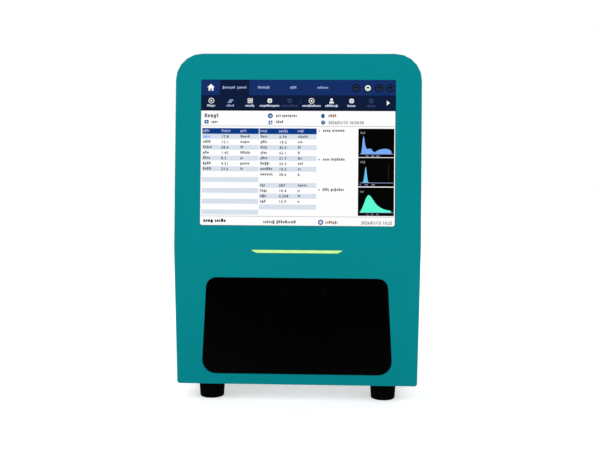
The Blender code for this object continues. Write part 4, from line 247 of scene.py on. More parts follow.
# %% Handling marks
# Hands, cloths and dust leave parts of a surface a little duller. Two noises of different size give patches
# a few centimetres wide with softer spots inside.
tree, entry, end = new_group(
    "handling marks", {"Roughness": 0.4, "Amount": 0.1}, {"Roughness": "NodeSocketFloat"})
place = add_node(tree, "ShaderNodeTexCoord", (-800, 300))
patches = add_node(tree, "ShaderNodeTexNoise", (-550, 250), inputs={"Scale": 30.0, "Detail": 4.0})
spots = add_node(tree, "ShaderNodeTexNoise", (-550, 0), inputs={"Scale": 240.0})
both = add_node(tree, "ShaderNodeMath", (-300, 150), operation="MULTIPLY")
centre = add_node(tree, "ShaderNodeMath", (-100, 150), operation="SUBTRACT", inputs={1: 0.25})
spread = add_node(tree, "ShaderNodeMath", (100, 150), operation="MULTIPLY_ADD")
spread.use_clamp = True
amount = add_node(tree, "ShaderNodeMath", (-100, -100), operation="MULTIPLY", inputs={1: 4.0})
join(tree, (place, "Object", patches, "Vector"), (place, "Object", spots, "Vector"), (patches, "Fac", both, 0),
     (spots, "Fac", both, 1), (both, 0, centre, 0), (entry, "Amount", amount, 0), (centre, 0, spread, 0),
     (amount, 0, spread, 1), (entry, "Roughness", spread, 2), (spread, 0, end, "Roughness"))
handling_group = tree
print("group:", tree.name)


# %% [markdown]
# ## The finishes
# Every finish is a Principled shader. What is the same all over, such as how much a plastic mirrors, is set on
# the shader itself. What changes over the surface comes from the groups: the tone of the colour, the roughness,
# the grain's height, and the round of the edges.

# %% The recipe of a finish
finishes = {}


def group_node(tree, group, place, **values):
    """Places a group and sets its inputs."""
    node = add_node(tree, "ShaderNodeGroup", place, node_tree=group)
    set_inputs(node, {title.replace("_", " "): value for title, value in values.items()})
    return node


def scaled(colour, factor):
    return tuple(min(1.0, channel * factor) for channel in colour) + (1.0,)


def make_finish(name, colour, roughness, metallic=0.0, mirror=0.5, tone=0.05, waves=2000.0, stretch=1.0,
                bump=0.1, depth=0.00005, marks=0.05, edge=0.0004, edge_wear_and_highlight=1.15):
    """One finish, also kept in finishes. worn is how much lighter the colour is painted on edges: a painted
    highlight where an edge catches light, and partly wear.
    """
    material = finishes[name] = bpy.data.materials.new(name)
    material.use_nodes = True
    tree, shader = material.node_tree, principled(material)
    set_inputs(shader, {"Metallic": metallic, "Specular IOR Level": mirror})
    grain = group_node(tree, grain_group, (-900, 0), Waves_per_metre=waves, Stretch=stretch)
    edges = group_node(tree, edge_group, (-900, -300), Radius=edge)
    marked = group_node(tree, handling_group, (-900, 300), Roughness=roughness, Amount=marks)
    shades = add_node(tree, "ShaderNodeMix", (-600, 100), data_type="RGBA",
                      inputs={"A": scaled(colour, 1 - tone), "B": scaled(colour, 1 + tone)})
    # The edge mask paints the colour lighter on edges: a painted highlight, and partly wear.
    lighter = add_node(tree, "ShaderNodeMix", (-350, 100), data_type="RGBA", inputs={"B": scaled(colour, edge_wear_and_highlight)})
    relief = add_node(tree, "ShaderNodeBump", (-350, -250), inputs={"Strength": bump, "Distance": depth})
    join(tree, (grain, "Tone", shades, "Factor"), (shades, "Result", lighter, "A"),
         (edges, "Edge", lighter, "Factor"), (lighter, "Result", shader, "Base Color"),
         (marked, "Roughness", shader, "Roughness"), (grain, "Height", relief, "Height"),
         (edges, "Normal", relief, "Normal"), (relief, "Normal", shader, "Normal"))
    return material


def side_gloss(material, start=0.035, full=0.35):
    """A clear coat that stays unseen straight on and mirrors more and more towards the side."""
    tree, shader = material.node_tree, principled(material)
    set_inputs(shader, {"Coat Roughness": 0.05})
    turned_away = add_node(tree, "ShaderNodeLayerWeight", (-600, 500))
    strength = add_node(tree, "ShaderNodeMapRange", (-350, 500), interpolation_type="SMOOTHSTEP",
                        inputs={"From Min": start, "From Max": full})
    join(tree, (turned_away, "Facing", strength, "Value"), (strength, 0, shader, "Coat Weight"))


# %% Plastics and rubber
make_finish("teal_moulding", (0.0, 0.245, 0.272), 0.46, mirror=0.04, tone=0.03, waves=2600, bump=0.25,
            depth=0.00004, marks=0.06, edge=0.0006, edge_wear_and_highlight=1.08)
make_finish("black_gloss", (0.0003, 0.0003, 0.0004), 0.09, mirror=0.006, tone=0.2, waves=240, bump=0.05,
            depth=0.00002, marks=0.05, edge=0.0005, edge_wear_and_highlight=1.3)
make_finish("black_plastic", (0.012, 0.012, 0.013), 0.55, mirror=0.3, tone=0.1, waves=2400, bump=0.35, marks=0.08)
make_finish("dark_plastic", (0.04, 0.04, 0.045), 0.5, mirror=0.35, waves=2200, bump=0.3)
make_finish("light_plastic", (0.55, 0.57, 0.58), 0.45, mirror=0.4, tone=0.03, waves=1800)
make_finish("white_acetal", (0.8, 0.79, 0.74), 0.35, mirror=0.45, tone=0.03, waves=900, stretch=6.0, bump=0.15)
make_finish("natural_acetal", (0.72, 0.71, 0.68), 0.4, mirror=0.4, tone=0.03)
make_finish("blue_cap", (0.02, 0.12, 0.45), 0.4, mirror=0.4, tone=0.06, waves=1500)
make_finish("black_rubber", (0.0012, 0.0012, 0.0013), 0.75, mirror=0.015, tone=0.25, waves=1600, bump=0.5,
            depth=0.0001, marks=0.12, edge=0.0008, edge_wear_and_highlight=1.6)
side_gloss(finishes["black_gloss"])
print("plastic finishes:", len(finishes))

# %% Metals
make_finish("painted_steel", (0.60, 0.62, 0.62), 0.48, mirror=0.4, tone=0.02, waves=1100, bump=0.3, depth=0.00006,
            marks=0.06, edge=0.0005, edge_wear_and_highlight=1.03)
make_finish("zinc_plated_steel", (0.6, 0.61, 0.62), 0.34, 1.0, tone=0.12, waves=420, bump=0.08, marks=0.1)
make_finish("ground_steel", (0.62, 0.62, 0.63), 0.25, 1.0, waves=160, stretch=22.0, bump=0.12)
make_finish("chrome_wire", (0.7, 0.7, 0.72), 0.14, 1.0, tone=0.03, waves=300, bump=0.03)
make_finish("aluminium", (0.7, 0.71, 0.72), 0.32, 1.0, waves=140, stretch=26.0, bump=0.1)
make_finish("cast_aluminium", (0.48, 0.49, 0.5), 0.5, 1.0, tone=0.12, waves=900, bump=0.6, depth=0.00012,
            marks=0.12)
make_finish("dark_metal", (0.1, 0.1, 0.11), 0.4, 1.0, waves=1500, edge_wear_and_highlight=2.2)
make_finish("motor_steel", (0.03, 0.03, 0.032), 0.38, 1.0, waves=300, stretch=9.0, edge_wear_and_highlight=2.5)
print("finishes so far:", len(finishes))

# %% Clear and lit materials
make_finish("screen_glass", (0.01, 0.012, 0.016), 0.08, mirror=0.2, waves=60, bump=0.0)
make_finish("circuit_board", (0.01, 0.13, 0.05), 0.35, tone=0.35, waves=500, bump=0.2)
amber = make_finish("amber_polymer", (0.55, 0.3, 0.08), 0.16, mirror=0.5, waves=700, bump=0.05)
set_inputs(principled(amber), {"Transmission Weight": 0.45})
bottle = make_finish("bottle_plastic", (0.8, 0.8, 0.76), 0.42, mirror=0.4, tone=0.02, waves=260, bump=0.2)
set_inputs(principled(bottle), {"Transmission Weight": 0.35})
glass = make_finish("barrel_glass", (0.88, 0.93, 0.94), 0.03, tone=0.01, waves=100, bump=0.0, marks=0.01)
set_inputs(principled(glass), {"Transmission Weight": 0.92, "IOR": 1.47})

# %% The lit bar
# A strip of diffuser lit from behind by a row of lamps. It is a little brighter over each lamp, and its light falls
# off towards its upper and lower edge, so the light is a function of where a point lies on the bar.
LAMP_PITCH = 0.0166
BAR_BRIGHT, BAR_DIM = 0.0012, 0.0021
bar_low, bar_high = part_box("light_bar")
lime = make_finish("lime_light", (0.03, 0.22, 0.12), 0.3, mirror=0.2, waves=1500, bump=0.05)
tree = lime.node_tree
where = add_node(tree, "ShaderNodeTexCoord", (-1200, -600))
parts = add_node(tree, "ShaderNodeSeparateXYZ", (-1000, -600))
lamps = add_node(tree, "ShaderNodeMath", (-800, -600), operation="MULTIPLY", inputs={1: 2 * math.pi / LAMP_PITCH})
wave = add_node(tree, "ShaderNodeMath", (-600, -600), operation="COSINE")
glow = add_node(tree, "ShaderNodeMix", (-400, -600), data_type="RGBA",
                inputs={"A": (0.60, 0.84, 0.20, 1), "B": (0.68, 0.88, 0.26, 1)})
half = add_node(tree, "ShaderNodeMath", (-500, -750), operation="MULTIPLY_ADD", inputs={1: 0.5, 2: 0.5})
rise = add_node(tree, "ShaderNodeMath", (-800, -900), operation="SUBTRACT",
                inputs={1: (bar_low.z + bar_high.z) / 2})
off_middle = add_node(tree, "ShaderNodeMath", (-600, -900), operation="ABSOLUTE")
fade = add_node(tree, "ShaderNodeMapRange", (-400, -900), interpolation_type="SMOOTHSTEP",
                inputs={"From Min": BAR_BRIGHT, "From Max": BAR_DIM, "To Min": 1.0, "To Max": 0.03})
light = add_node(tree, "ShaderNodeVectorMath", (-200, -700), operation="SCALE")
join(tree, (where, "Object", parts, 0), (parts, "X", lamps, 0), (lamps, 0, wave, 0), (wave, 0, half, 0),
     (half, 0, glow, "Factor"), (parts, "Z", rise, 0), (rise, 0, off_middle, 0), (off_middle, 0, fade, "Value"),
     (glow, "Result", light, 0), (fade, 0, light, "Scale"),
     (light, 0, principled(lime), "Emission Color"))
set_inputs(principled(lime), {"Emission Strength": 0.95})
print("finishes:", len(finishes))

# %% [markdown]
# ## Finishes on the solid parts
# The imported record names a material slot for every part, so the finishes can be handed out by name. The solids
# are made of plain triangles. Their own mesh stays untouched, and two modifiers smooth the shading of what is
# drawn: a Geometry Nodes tree joins the loose triangles and marks only real corners as sharp, and a Weighted
# Normal modifier keeps large flat faces flat next to small rounded ones.

# %% Smoothing by Geometry Nodes
def geometry_tree(name, inputs):
    """An empty tree and the node that hands in its inputs. inputs is {name: kind}."""
    tree = bpy.data.node_groups.new(name, "GeometryNodeTree")
    for title, kind in inputs.items():
        tree.interface.new_socket(title, in_out="INPUT", socket_type="NodeSocket" + kind)
    tree.interface.new_socket("Geometry", in_out="OUTPUT", socket_type="NodeSocketGeometry")
    return tree, add_node(tree, "NodeGroupInput", (-1400, 0))


SHARP_ABOVE = 0.6
tree, entry = geometry_tree("smooth by angle", {"Geometry": "Geometry", "Sharp above": "Float"})
tree.interface.items_tree["Sharp above"].default_value = SHARP_ABOVE
weld = add_node(tree, "GeometryNodeMergeByDistance", (-400, 0), inputs={"Distance": 0.00001})
round_faces = add_node(tree, "GeometryNodeSetShadeSmooth", (-200, 0), domain="FACE")
angle = add_node(tree, "GeometryNodeInputMeshEdgeAngle", (-400, -300))
sharp = add_node(tree, "FunctionNodeCompare", (-200, -300), data_type="FLOAT", operation="GREATER_THAN")
keep_sharp = add_node(tree, "GeometryNodeSetShadeSmooth", (0, 0), domain="EDGE", inputs={"Shade Smooth": False})
end = add_node(tree, "NodeGroupOutput", (200, 0))
join(tree, (entry, "Geometry", weld, "Geometry"), (weld, 0, round_faces, "Geometry"),
     (round_faces, 0, keep_sharp, "Geometry"), (angle, "Unsigned Angle", sharp, "A"),
     (entry, "Sharp above", sharp, "B"), (sharp, 0, keep_sharp, "Selection"), (keep_sharp, 0, end, 0))
smooth_tree = tree


def smooth_shading(piece):
    """Adds the two modifiers to a piece."""
    step = piece.modifiers.new("smooth by angle", "NODES")
    step.node_group = smooth_tree
    weighted = piece.modifiers.new("flat faces stay flat", "WEIGHTED_NORMAL")
    weighted.keep_sharp = True


# %% Hand out the finishes
for part in frame["record"]["subparts"]:
    node = nodes[part["node"]]
    node.data.materials.clear()
    node.data.materials.append(finishes[part["material_slot"]])
    smooth_shading(node)

# %% [markdown]
# ## The picture on the display
# The display has 800 by 600 dots on 211.2 by 158.4 mm. Its picture is generic: bars of colour, plain numbers and
# rows of small blocks where words would be. It could be an image texture, but drawn shapes stay sharp from any
# distance. Each shape is a thin closed plate just in front of the touch glass, and shapes that lie on others are
# one layer closer to the viewer. A colour is stored on the mesh, so one material lights them all.

# %% Where the picture lies
LEAN = math.radians(5.45)
DOT = 0.2112 / 800
LAYER = 0.00006
PLATE = 0.00003
HALF_GLASS, AIR = 0.0009, 0.00005

glass_low, glass_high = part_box("touch_glass")
glass_middle = (glass_low + glass_high) / 2
screen_place = Matrix.Translation(glass_middle) @ Matrix.Rotation(-LEAN, 4, "X")
picture_back = -HALF_GLASS - AIR
print("glass middle in mm:", [round(v * 1000, 2) for v in glass_middle])


# %% Colours as a display names them
def ink(red, green, blue):
    """A display colour from 0 to 255 as the linear colour that a shader needs."""
    return tuple(((c / 255 + 0.055) / 1.055) ** 2.4 if c > 10 else c / 255 / 12.92 for c in (red, green, blue))


WHITE, PALE, GREY, DARK = ink(255, 255, 255), ink(217, 226, 237), ink(120, 122, 128), ink(40, 42, 48)
NAVY, NIGHT, DEEP, RULE = ink(19, 47, 104), ink(11, 27, 59), ink(5, 11, 32), ink(180, 181, 183)
HEADER_BLUE, ICON_BLUE, HAZE = ink(4, 58, 134), ink(24, 88, 150), ink(150, 165, 208)
DIM, BLACK = ink(48, 64, 100), ink(0, 0, 0)
CURVE_BLUE, CURVE_SKY, CURVE_MINT = ink(122, 171, 248), ink(105, 195, 238), ink(94, 255, 213)
BROWN = ink(160, 118, 96)

# %% Drawing in dots
shapes = []


def draw(outline, colour, layer):
    """Adds a closed outline, in dots from the upper left corner of the display."""
    shapes.append((outline, colour, layer))


def bar(left, top, wide, tall, colour, layer=2, corner=0.0):
    """A rectangle, or one with cut corners."""
    right, low = left + wide, top + tall
    if corner:
        outline = [(left + corner, top), (right - corner, top), (right, top + corner), (right, low - corner),
                   (right - corner, low), (left + corner, low), (left, low - corner), (left, top + corner)]
    else:
        outline = [(left, top), (right, top), (right, low), (left, low)]
    draw(outline, colour, layer)


def disc(x, y, radius, colour, layer=2, sides=20):
    draw([(x + radius * math.cos(2 * math.pi * k / sides), y + radius * math.sin(2 * math.pi * k / sides))
          for k in range(sides)], colour, layer)


def word(left, middle, wide, tall, colour, layer=3):
    """Small blocks of uneven height, as words look from afar."""
    chance = random.Random(round(left * 7 + middle * 13))
    x = left
    while x < left + wide - 2:
        letter = min(chance.choice((0.45, 0.6, 0.6, 0.75)) * tall, left + wide - x)
        rise = chance.choice((0.0, 0.0, 0.3)) * tall
        drop = chance.choice((0.0, 0.0, 0.0, 0.25)) * tall
        bar(x, middle - tall / 2 - rise + tall * 0.1, letter, tall * 0.8 + rise + drop, colour, layer)
        x += letter + tall * 0.2


# %% The two bars at the top
draw([(0.5, 127.5), (798, 127.5), (798, 593.5), (793, 598.5), (5.5, 598.5), (0.5, 593.5)], WHITE, 0)
draw([(0, 63), (0, 5.5), (5, 0.5), (794.5, 0.5), (799.5, 5.5), (799.5, 63)], NAVY, 1)
bar(77, 0.5, 121, 63, NIGHT, 2)
bar(0, 63, 799.5, 64.5, NIGHT, 1)
bar(0, 121.5, 799.5, 6, DEEP, 2)
draw([(40, 17), (55, 31), (50, 31), (50, 45), (43, 45), (43, 36), (37, 36), (37, 45), (30, 45), (30, 31),
      (25, 31)], WHITE, 3)
for left, wide in ((88, 54), (149, 40), (234, 47), (366, 26), (478, 46)):
    word(left, 32, wide, 9, HAZE)
for count, x in enumerate((638, 685, 731, 776)):
    disc(x, 33, 17, DEEP, 3)
    disc(x, 33, 12, WHITE if count == 1 else DIM, 4)
    disc(x, 33, 7 if count == 1 else 9, DEEP, 5)
    disc(x, 35, 3, WHITE if count == 1 else DIM, 6)

# %% The toolbar's icons
SOFT_WHITE = ink(205, 212, 232)
for left, wide, colour in ((25, 33, SOFT_WHITE), (105, 33, HAZE), (183, 37, SOFT_WHITE), (242, 80, SOFT_WHITE),
                           (330, 70, DIM), (417, 76, SOFT_WHITE), (511, 52, SOFT_WHITE), (602, 33, SOFT_WHITE),
                           (680, 40, DIM)):
    word(left, 107, wide, 8, colour)
for x in (42, 455):
    disc(x, 86, 11.5, WHITE, 3)
    disc(x, 86, 9, NIGHT, 4)
draw([(39, 81), (47, 86), (39, 91)], WHITE, 5)
disc(455, 86, 4, WHITE, 5)
for step in range(3):
    bar(110 + 4 * step, 91 - 5 * step, 15, 4, HAZE, 3)
for x, y in ((197, 81), (208, 81), (197, 91), (208, 91)):
    disc(x, y, 5.5, WHITE, 3, 12)
    disc(x, y, 3, NIGHT, 4, 12)
for x, colour in ((283, WHITE), (619, WHITE), (699, DIM), (365, DIM)):
    bar(x - 9, 77, 18, 18, colour, 3, 4)
    bar(x - 5, 82, 10, 3, NIGHT, 4)
    bar(x - 5, 88, 10, 3, NIGHT, 4)
disc(537, 81, 5.5, WHITE, 3, 12)
draw([(527, 96), (529, 89), (545, 89), (547, 96)], WHITE, 3)
bar(409, 76, 1.5, 22, DIM, 3)
draw([(763, 84), (763, 104), (775, 94)], WHITE, 3)

# %% The sample's header and the footer
word(15, 149, 56, 15, GREY)
bar(14, 166, 18, 15, ICON_BLUE, 2, 3)
disc(23, 173.5, 3.5, PALE, 3, 12)
word(43, 174, 26, 10, GREY)
disc(286, 148, 10.5, ICON_BLUE)
disc(287, 149, 4, PALE, 3, 12)
word(309, 148, 20, 10, GREY)
word(334, 148, 62, 10, GREY)
for x, y in ((279, 168), (288, 168), (279, 177)):
    bar(x, y, 7, 7, ICON_BLUE)
bar(288, 177, 7, 7, CURVE_SKY)
word(309, 174, 34, 10, GREY)
bar(495, 139, 14, 18, ICON_BLUE, 2, 4)
word(524, 148, 32, 10, BROWN)
disc(503, 175, 8.5, ICON_BLUE)
disc(503, 174, 2.5, PALE, 3, 12)
for top in (189.4, 560.4):
    bar(3, top, 792, 2.2, RULE)
word(14, 581, 42, 12, BLACK)
word(62, 581, 45, 12, BLACK)
word(261, 585, 48, 11, GREY)
word(315, 585, 82, 11, GREY)
disc(496, 584, 11, ICON_BLUE)
disc(496, 584, 6, PALE, 3)
word(515, 585, 50, 10, BROWN)

# %% The words of the two tables
ROW_PITCH, FIRST_ROW, BAND = 22.2, 234.0, 20
LEFT_TABLE, RIGHT_TABLE = (6, 233.5), (242, 235)


def row_middle(row):
    return FIRST_ROW + ROW_PITCH * row


for left, wide in (LEFT_TABLE, RIGHT_TABLE):
    bar(left, 199.5, wide, 24, HEADER_BLUE, 2)
    for start, wide in ((4, 27), (80, 36), (157, 25)):
        word(left + start, 211, wide, 9, HAZE)
for row, (name, unit) in enumerate(((28, 40), (34, 40), (36, 11), (26, 40), (30, 11), (32, 40), (34, 11))):
    word(10, row_middle(row), name, 10, GREY if row else CURVE_BLUE)
    word(164, row_middle(row), unit, 9, GREY)
for row, (name, unit) in enumerate(((27, 40), (26, 18), (27, 11), (26, 9), (28, 16), (36, 20), (48, 11), (50, 9),
                                    (0, 0), (22, 40), (27, 9), (24, 11), (22, 9))):
    word(247, row_middle(row), name, 10, GREY)
    word(401, row_middle(row), unit, 9, GREY)
for middle, first in ((208.5, 30), (327, 28), (451, 26)):
    bar(485, middle - 2, 6, 5, GREY, 2)
    word(503, middle, first, 10, GREY)
    word(503 + first + 7, middle, 54, 10, GREY)


# %% Three histograms
def histogram(top, tall, colour, curve, baseline, label):
    """A black field with a filled curve. curve is a list of (x, height) in dots."""
    bar(647.5, top, 147, tall, BLACK, 2)
    word(656, top + 18, label, 8, GREY)
    bar(655, baseline, 136, 2, HAZE, 3)
    draw([(649 + x, baseline - height) for x, height in curve] + [(649 + curve[-1][0], baseline),
                                                                  (649 + curve[0][0], baseline)], colour, 4)


histogram(199.5, 117, CURVE_BLUE, [(10, 1), (14, 24), (17, 60), (20, 74), (23, 62), (27, 33), (32, 21), (39, 19.5),
                                   (46, 22), (53, 18), (60, 9), (66, 6), (73, 11), (82, 16), (95, 19.5), (110, 21),
                                   (122, 19), (131, 13), (134, 8)], 302.5, 21)
histogram(318.9, 117.6, CURVE_SKY, [(17, 1), (21, 10), (24, 28), (27, 56), (29.5, 66), (32, 56), (35, 28), (38, 9),
                                (42, 1)], 420.5, 20)
histogram(440, 116.8, CURVE_MINT, [(7, 1), (15, 14), (23, 34), (31, 56), (38, 68), (43, 71), (49, 67), (58, 55),
                                   (68, 40), (78, 28), (90, 20), (104, 13), (118, 9), (133, 7)], 542, 18)
bar(770, 345, 3, 66, ink(34, 34, 38), 3)
print("shapes in the picture:", len(shapes))


# %% Plates from the shapes
PICTURE_COLOUR = "picture_colour"


def on_screen(x, y, depth):
    """A point in dots, and a depth behind the middle of the glass, in the display's own frame."""
    return Vector(((x - 400) * DOT, depth, (300 - y) * DOT))


def closed_mesh(name, made):
    """A mesh from a bmesh, with its faces turned outwards."""
    bmesh.ops.recalc_face_normals(made, faces=made.faces)
    mesh = bpy.data.meshes.new(name)
    made.to_mesh(mesh)
    made.free()
    return mesh


def joined(name, meshes):
    """One mesh from several, which are then dropped."""
    made = bmesh.new()
    for mesh in meshes:
        made.from_mesh(mesh)
        bpy.data.meshes.remove(mesh)
    whole = bpy.data.meshes.new(name)
    made.to_mesh(whole)
    made.free()
    return whole


def plates_mesh(name, plates):
    """One mesh of closed plates, each with its colour on the mesh's corners."""
    made = bmesh.new()
    paint = made.loops.layers.float_color.new(PICTURE_COLOUR)
    for outline, colour, layer in plates:
        back = picture_back - layer * LAYER
        rings = [[made.verts.new(on_screen(x, y, depth)) for x, y in outline] for depth in (back, back - PLATE)]
        count = len(outline)
        faces = [made.faces.new(rings[0]), made.faces.new(rings[1][::-1])]
        faces += [made.faces.new((rings[0][k - 1], rings[1][k - 1], rings[1][k], rings[0][k]))
                  for k in range(count)]
        for face in faces:
            for loop in face.loops:
                loop[paint] = (*colour, 1)
    return closed_mesh(name, made)


# %% The glowing material
lit = bpy.data.materials.new("lit_picture")
lit.use_nodes = True
tree, shader = lit.node_tree, principled(lit)
set_inputs(shader, {"Base Color": (0.001, 0.001, 0.001, 1), "Roughness": 0.15, "Specular IOR Level": 0.01,
                    "Emission Strength": 1.0})
stored = add_node(tree, "ShaderNodeAttribute", (-900, 0), attribute_name=PICTURE_COLOUR)
cells = add_node(tree, "ShaderNodeTexCoord", (-1100, -300))
pixels = add_node(tree, "ShaderNodeTexNoise", (-900, -300), inputs={"Scale": 14.0})
shade = add_node(tree, "ShaderNodeMapRange", (-700, -300), inputs={"To Min": 0.98, "To Max": 1.0})
lamp_even = add_node(tree, "ShaderNodeVectorMath", (-400, 0), operation="SCALE")
join(tree, (cells, "Object", pixels, "Vector"), (pixels, "Fac", shade, "Value"), (stored, "Color", lamp_even, 0),
     (shade, 0, lamp_even, "Scale"), (lamp_even, 0, shader, "Emission Color"))
side_gloss(lit)


def add_piece(name, mesh, body, material=None):
    """Links a finished mesh as a piece that rides on a body."""
    piece = put_in_scene(name, mesh)
    if material:
        mesh.materials.clear()
        mesh.materials.append(material)
    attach(piece, body)
    return piece


picture = plates_mesh("screen_picture", shapes)
picture.transform(screen_place)
add_piece("screen_picture", picture, "root", lit)
print("triangles in the picture:", sum(len(p.vertices) - 2 for p in picture.polygons))

# %% [markdown]
# ## Numbers on the display
# Real digits come from text objects. A column of results is one text of several lines, whose line spacing is the
# pitch of the table's rows. The text gets a little thickness, becomes a mesh, and is then turned into place.

# %% Digits
HALF_DIGIT, TABLE_SPACING = 0.36, 1.18


def number_plates(name, text, left, middle, size, colour, pitch, weight, layer=3):
    """Lines of plain numbers, in dots, the first one centred on a height. weight thickens the strokes."""
    curve = bpy.data.curves.new(name, "FONT")
    curve.body = text
    curve.size = size * DOT
    curve.resolution_u = 2
    curve.offset = weight * DOT
    curve.space_character = TABLE_SPACING if pitch else 1.0
    curve.extrude = PLATE / 2
    curve.space_line = pitch / size if pitch else 1.0
    writing = put_in_scene(name, curve)
    mesh = bpy.data.meshes.new_from_object(writing.evaluated_get(bpy.context.evaluated_depsgraph_get()))
    bpy.data.objects.remove(writing)
    depth = picture_back - layer * LAYER - PLATE / 2
    mesh.transform(Matrix.Translation(on_screen(left, middle + size * HALF_DIGIT, depth))
                   @ Matrix.Rotation(math.pi / 2, 4, "X"))
    welded = bmesh.new()
    welded.from_mesh(mesh)
    bmesh.ops.remove_doubles(welded, verts=welded.verts, dist=0.0000005)
    bmesh.ops.recalc_face_normals(welded, faces=welded.faces)
    paint = welded.loops.layers.float_color.new(PICTURE_COLOUR)
    for face in welded.faces:
        for loop in face.loops:
            loop[paint] = (*colour, 1)
    welded.to_mesh(mesh)
    welded.free()
    return mesh


bpy.context.view_layer.update()
IN_TABLE = (15, DARK, ROW_PITCH, 0.4)
columns = [
    ("left_results", "17.8\n12.1\n68.4\n1.42\n8.3\n4.21\n23.6", 85, row_middle(0), *IN_TABLE),
    ("right_results", "6.54\n14.2\n42.5\n65.1\n21.7\n33.4\n15.2\n38.6", 324, row_middle(0), *IN_TABLE),
    ("platelet_results", "287\n10.4\n0.298\n15.9", 324, row_middle(9), *IN_TABLE),
    ("sample_time", "2026/01/15 10:24:30", 524, 175, 17.6, GREY, 0, 0.45),
    ("clock", "2026/01/15 10:25", 661, 585, 18, GREY, 0, 0.45),
    ("first_axis", "100    200   300", 676, 311, 9, HAZE, 0, 0.1),
    ("second_axis", "0      100      200", 654, 429, 9, HAZE, 0, 0.1),
    ("third_axis", "10    20     30", 682, 551, 9, HAZE, 0, 0.1),
]
numbers = joined("screen_numbers", [number_plates(*column) for column in columns])
numbers.transform(screen_place)
add_piece("screen_numbers", numbers, "root", lit)
print("triangles in the numbers:", sum(len(p.vertices) - 2 for p in numbers.polygons))

# %% [markdown]
# ## Shaded rows by Geometry Nodes
# Every second row of a table is shaded. That is a shape repeated at a fixed step, which Geometry Nodes do well:
# a line of points with a count and an offset, a block on every point, and a stored colour.

# %% A tree that repeats a block
def end_in_material(tree, entry, shape):
    """Ends a tree: its shape gets the material that was handed in."""
    finished = add_node(tree, "GeometryNodeSetMaterial", (900, 0))
    end = add_node(tree, "NodeGroupOutput", (1100, 0))
    join(tree, (shape, 0, finished, "Geometry"), (entry, "Material", finished, "Material"), (finished, 0, end, 0))


tree, entry = geometry_tree("row of blocks", {
    "Count": "Int", "Start": "Vector", "Step": "Vector", "Size": "Vector", "Colour": "Color",
    "Material": "Material"})
line = add_node(tree, "GeometryNodeMeshLine", (-550, 100), mode="OFFSET")
block = add_node(tree, "GeometryNodeMeshCube", (-550, -200))
copies = add_node(tree, "GeometryNodeInstanceOnPoints", (-300, 0))
real = add_node(tree, "GeometryNodeRealizeInstances", (-100, 0))
painted = add_node(tree, "GeometryNodeStoreNamedAttribute", (100, 0), data_type="FLOAT_COLOR", domain="CORNER",
                   inputs={"Name": PICTURE_COLOUR})
join(tree, (entry, "Count", line, "Count"), (entry, "Start", line, "Start Location"),
     (entry, "Step", line, "Offset"), (entry, "Size", block, "Size"), (line, 0, copies, "Points"),
     (block, "Mesh", copies, "Instance"), (copies, 0, real, 0), (real, 0, painted, "Geometry"),
     (entry, "Colour", painted, "Value"))
end_in_material(tree, entry, painted)
row_tree = tree


def made_by(tree, name, settings, seed_mesh=None):
    """Runs a tree with {input: value} and gives the result as a plain mesh. seed_mesh holds the points, if any."""
    carrier = put_in_scene(name, seed_mesh or bpy.data.meshes.new(name))
    step = carrier.modifiers.new(name, "NODES")
    step.node_group = tree
    for title, value in settings.items():
        step[tree.interface.items_tree[title].identifier] = value
    bpy.context.view_layer.update()
    mesh = bpy.data.meshes.new_from_object(carrier.evaluated_get(bpy.context.evaluated_depsgraph_get()))
    bpy.data.objects.remove(carrier)
    return mesh


def shaded_rows(name, left, wide, first_row, count):
    """Bands of a table, two rows apart."""
    depth = picture_back - LAYER - PLATE / 2
    return made_by(row_tree, name, {
        "Count": count, "Start": on_screen(left + wide / 2, row_middle(first_row), depth),
        "Step": (0, 0, -2 * ROW_PITCH * DOT), "Size": (wide * DOT, PLATE, BAND * DOT),
        "Colour": (*PALE, 1), "Material": lit})


# %% The bands of both tables
bands = joined("table_bands", [shaded_rows("left_bands", *LEFT_TABLE, 0, 8),
                               shaded_rows("right_bands", *RIGHT_TABLE, 0, 4),
                               shaded_rows("lower_bands", *RIGHT_TABLE, 9, 3)])
bands.transform(screen_place)
add_piece("table_bands", bands, "root", lit)
print("faces in the bands:", len(bands.polygons))

# %% [markdown]
# ## Screws by Geometry Nodes
# The case is held by pan head screws with a cross recess. One head is cut from a dome: a flattened sphere kept only
# inside a cylinder, with two crossed bars taken out. Geometry Nodes then put a copy on every point of a small mesh.
# Each point carries the direction its screw faces, and a fixed seed turns every recess a different way, as
# screws end up when they are tightened by hand.

# %% A tree that makes and places screw heads
FACING = "facing"
RECESS_SHARE, SCREW_SEED = 0.26, 7
tree, entry = geometry_tree("screw heads", {
    "Points": "Geometry", "Head radius": "Float", "Head height": "Float", "Recess width": "Float", "Seed": "Int",
    "Material": "Material"})


def maths(operation, place, first, second):
    """A Math node in the tree, whose second input is a plain number."""
    node = add_node(tree, "ShaderNodeMath", place, operation=operation, inputs={1: second})
    join(tree, (first, node, 0))
    return node.outputs[0]


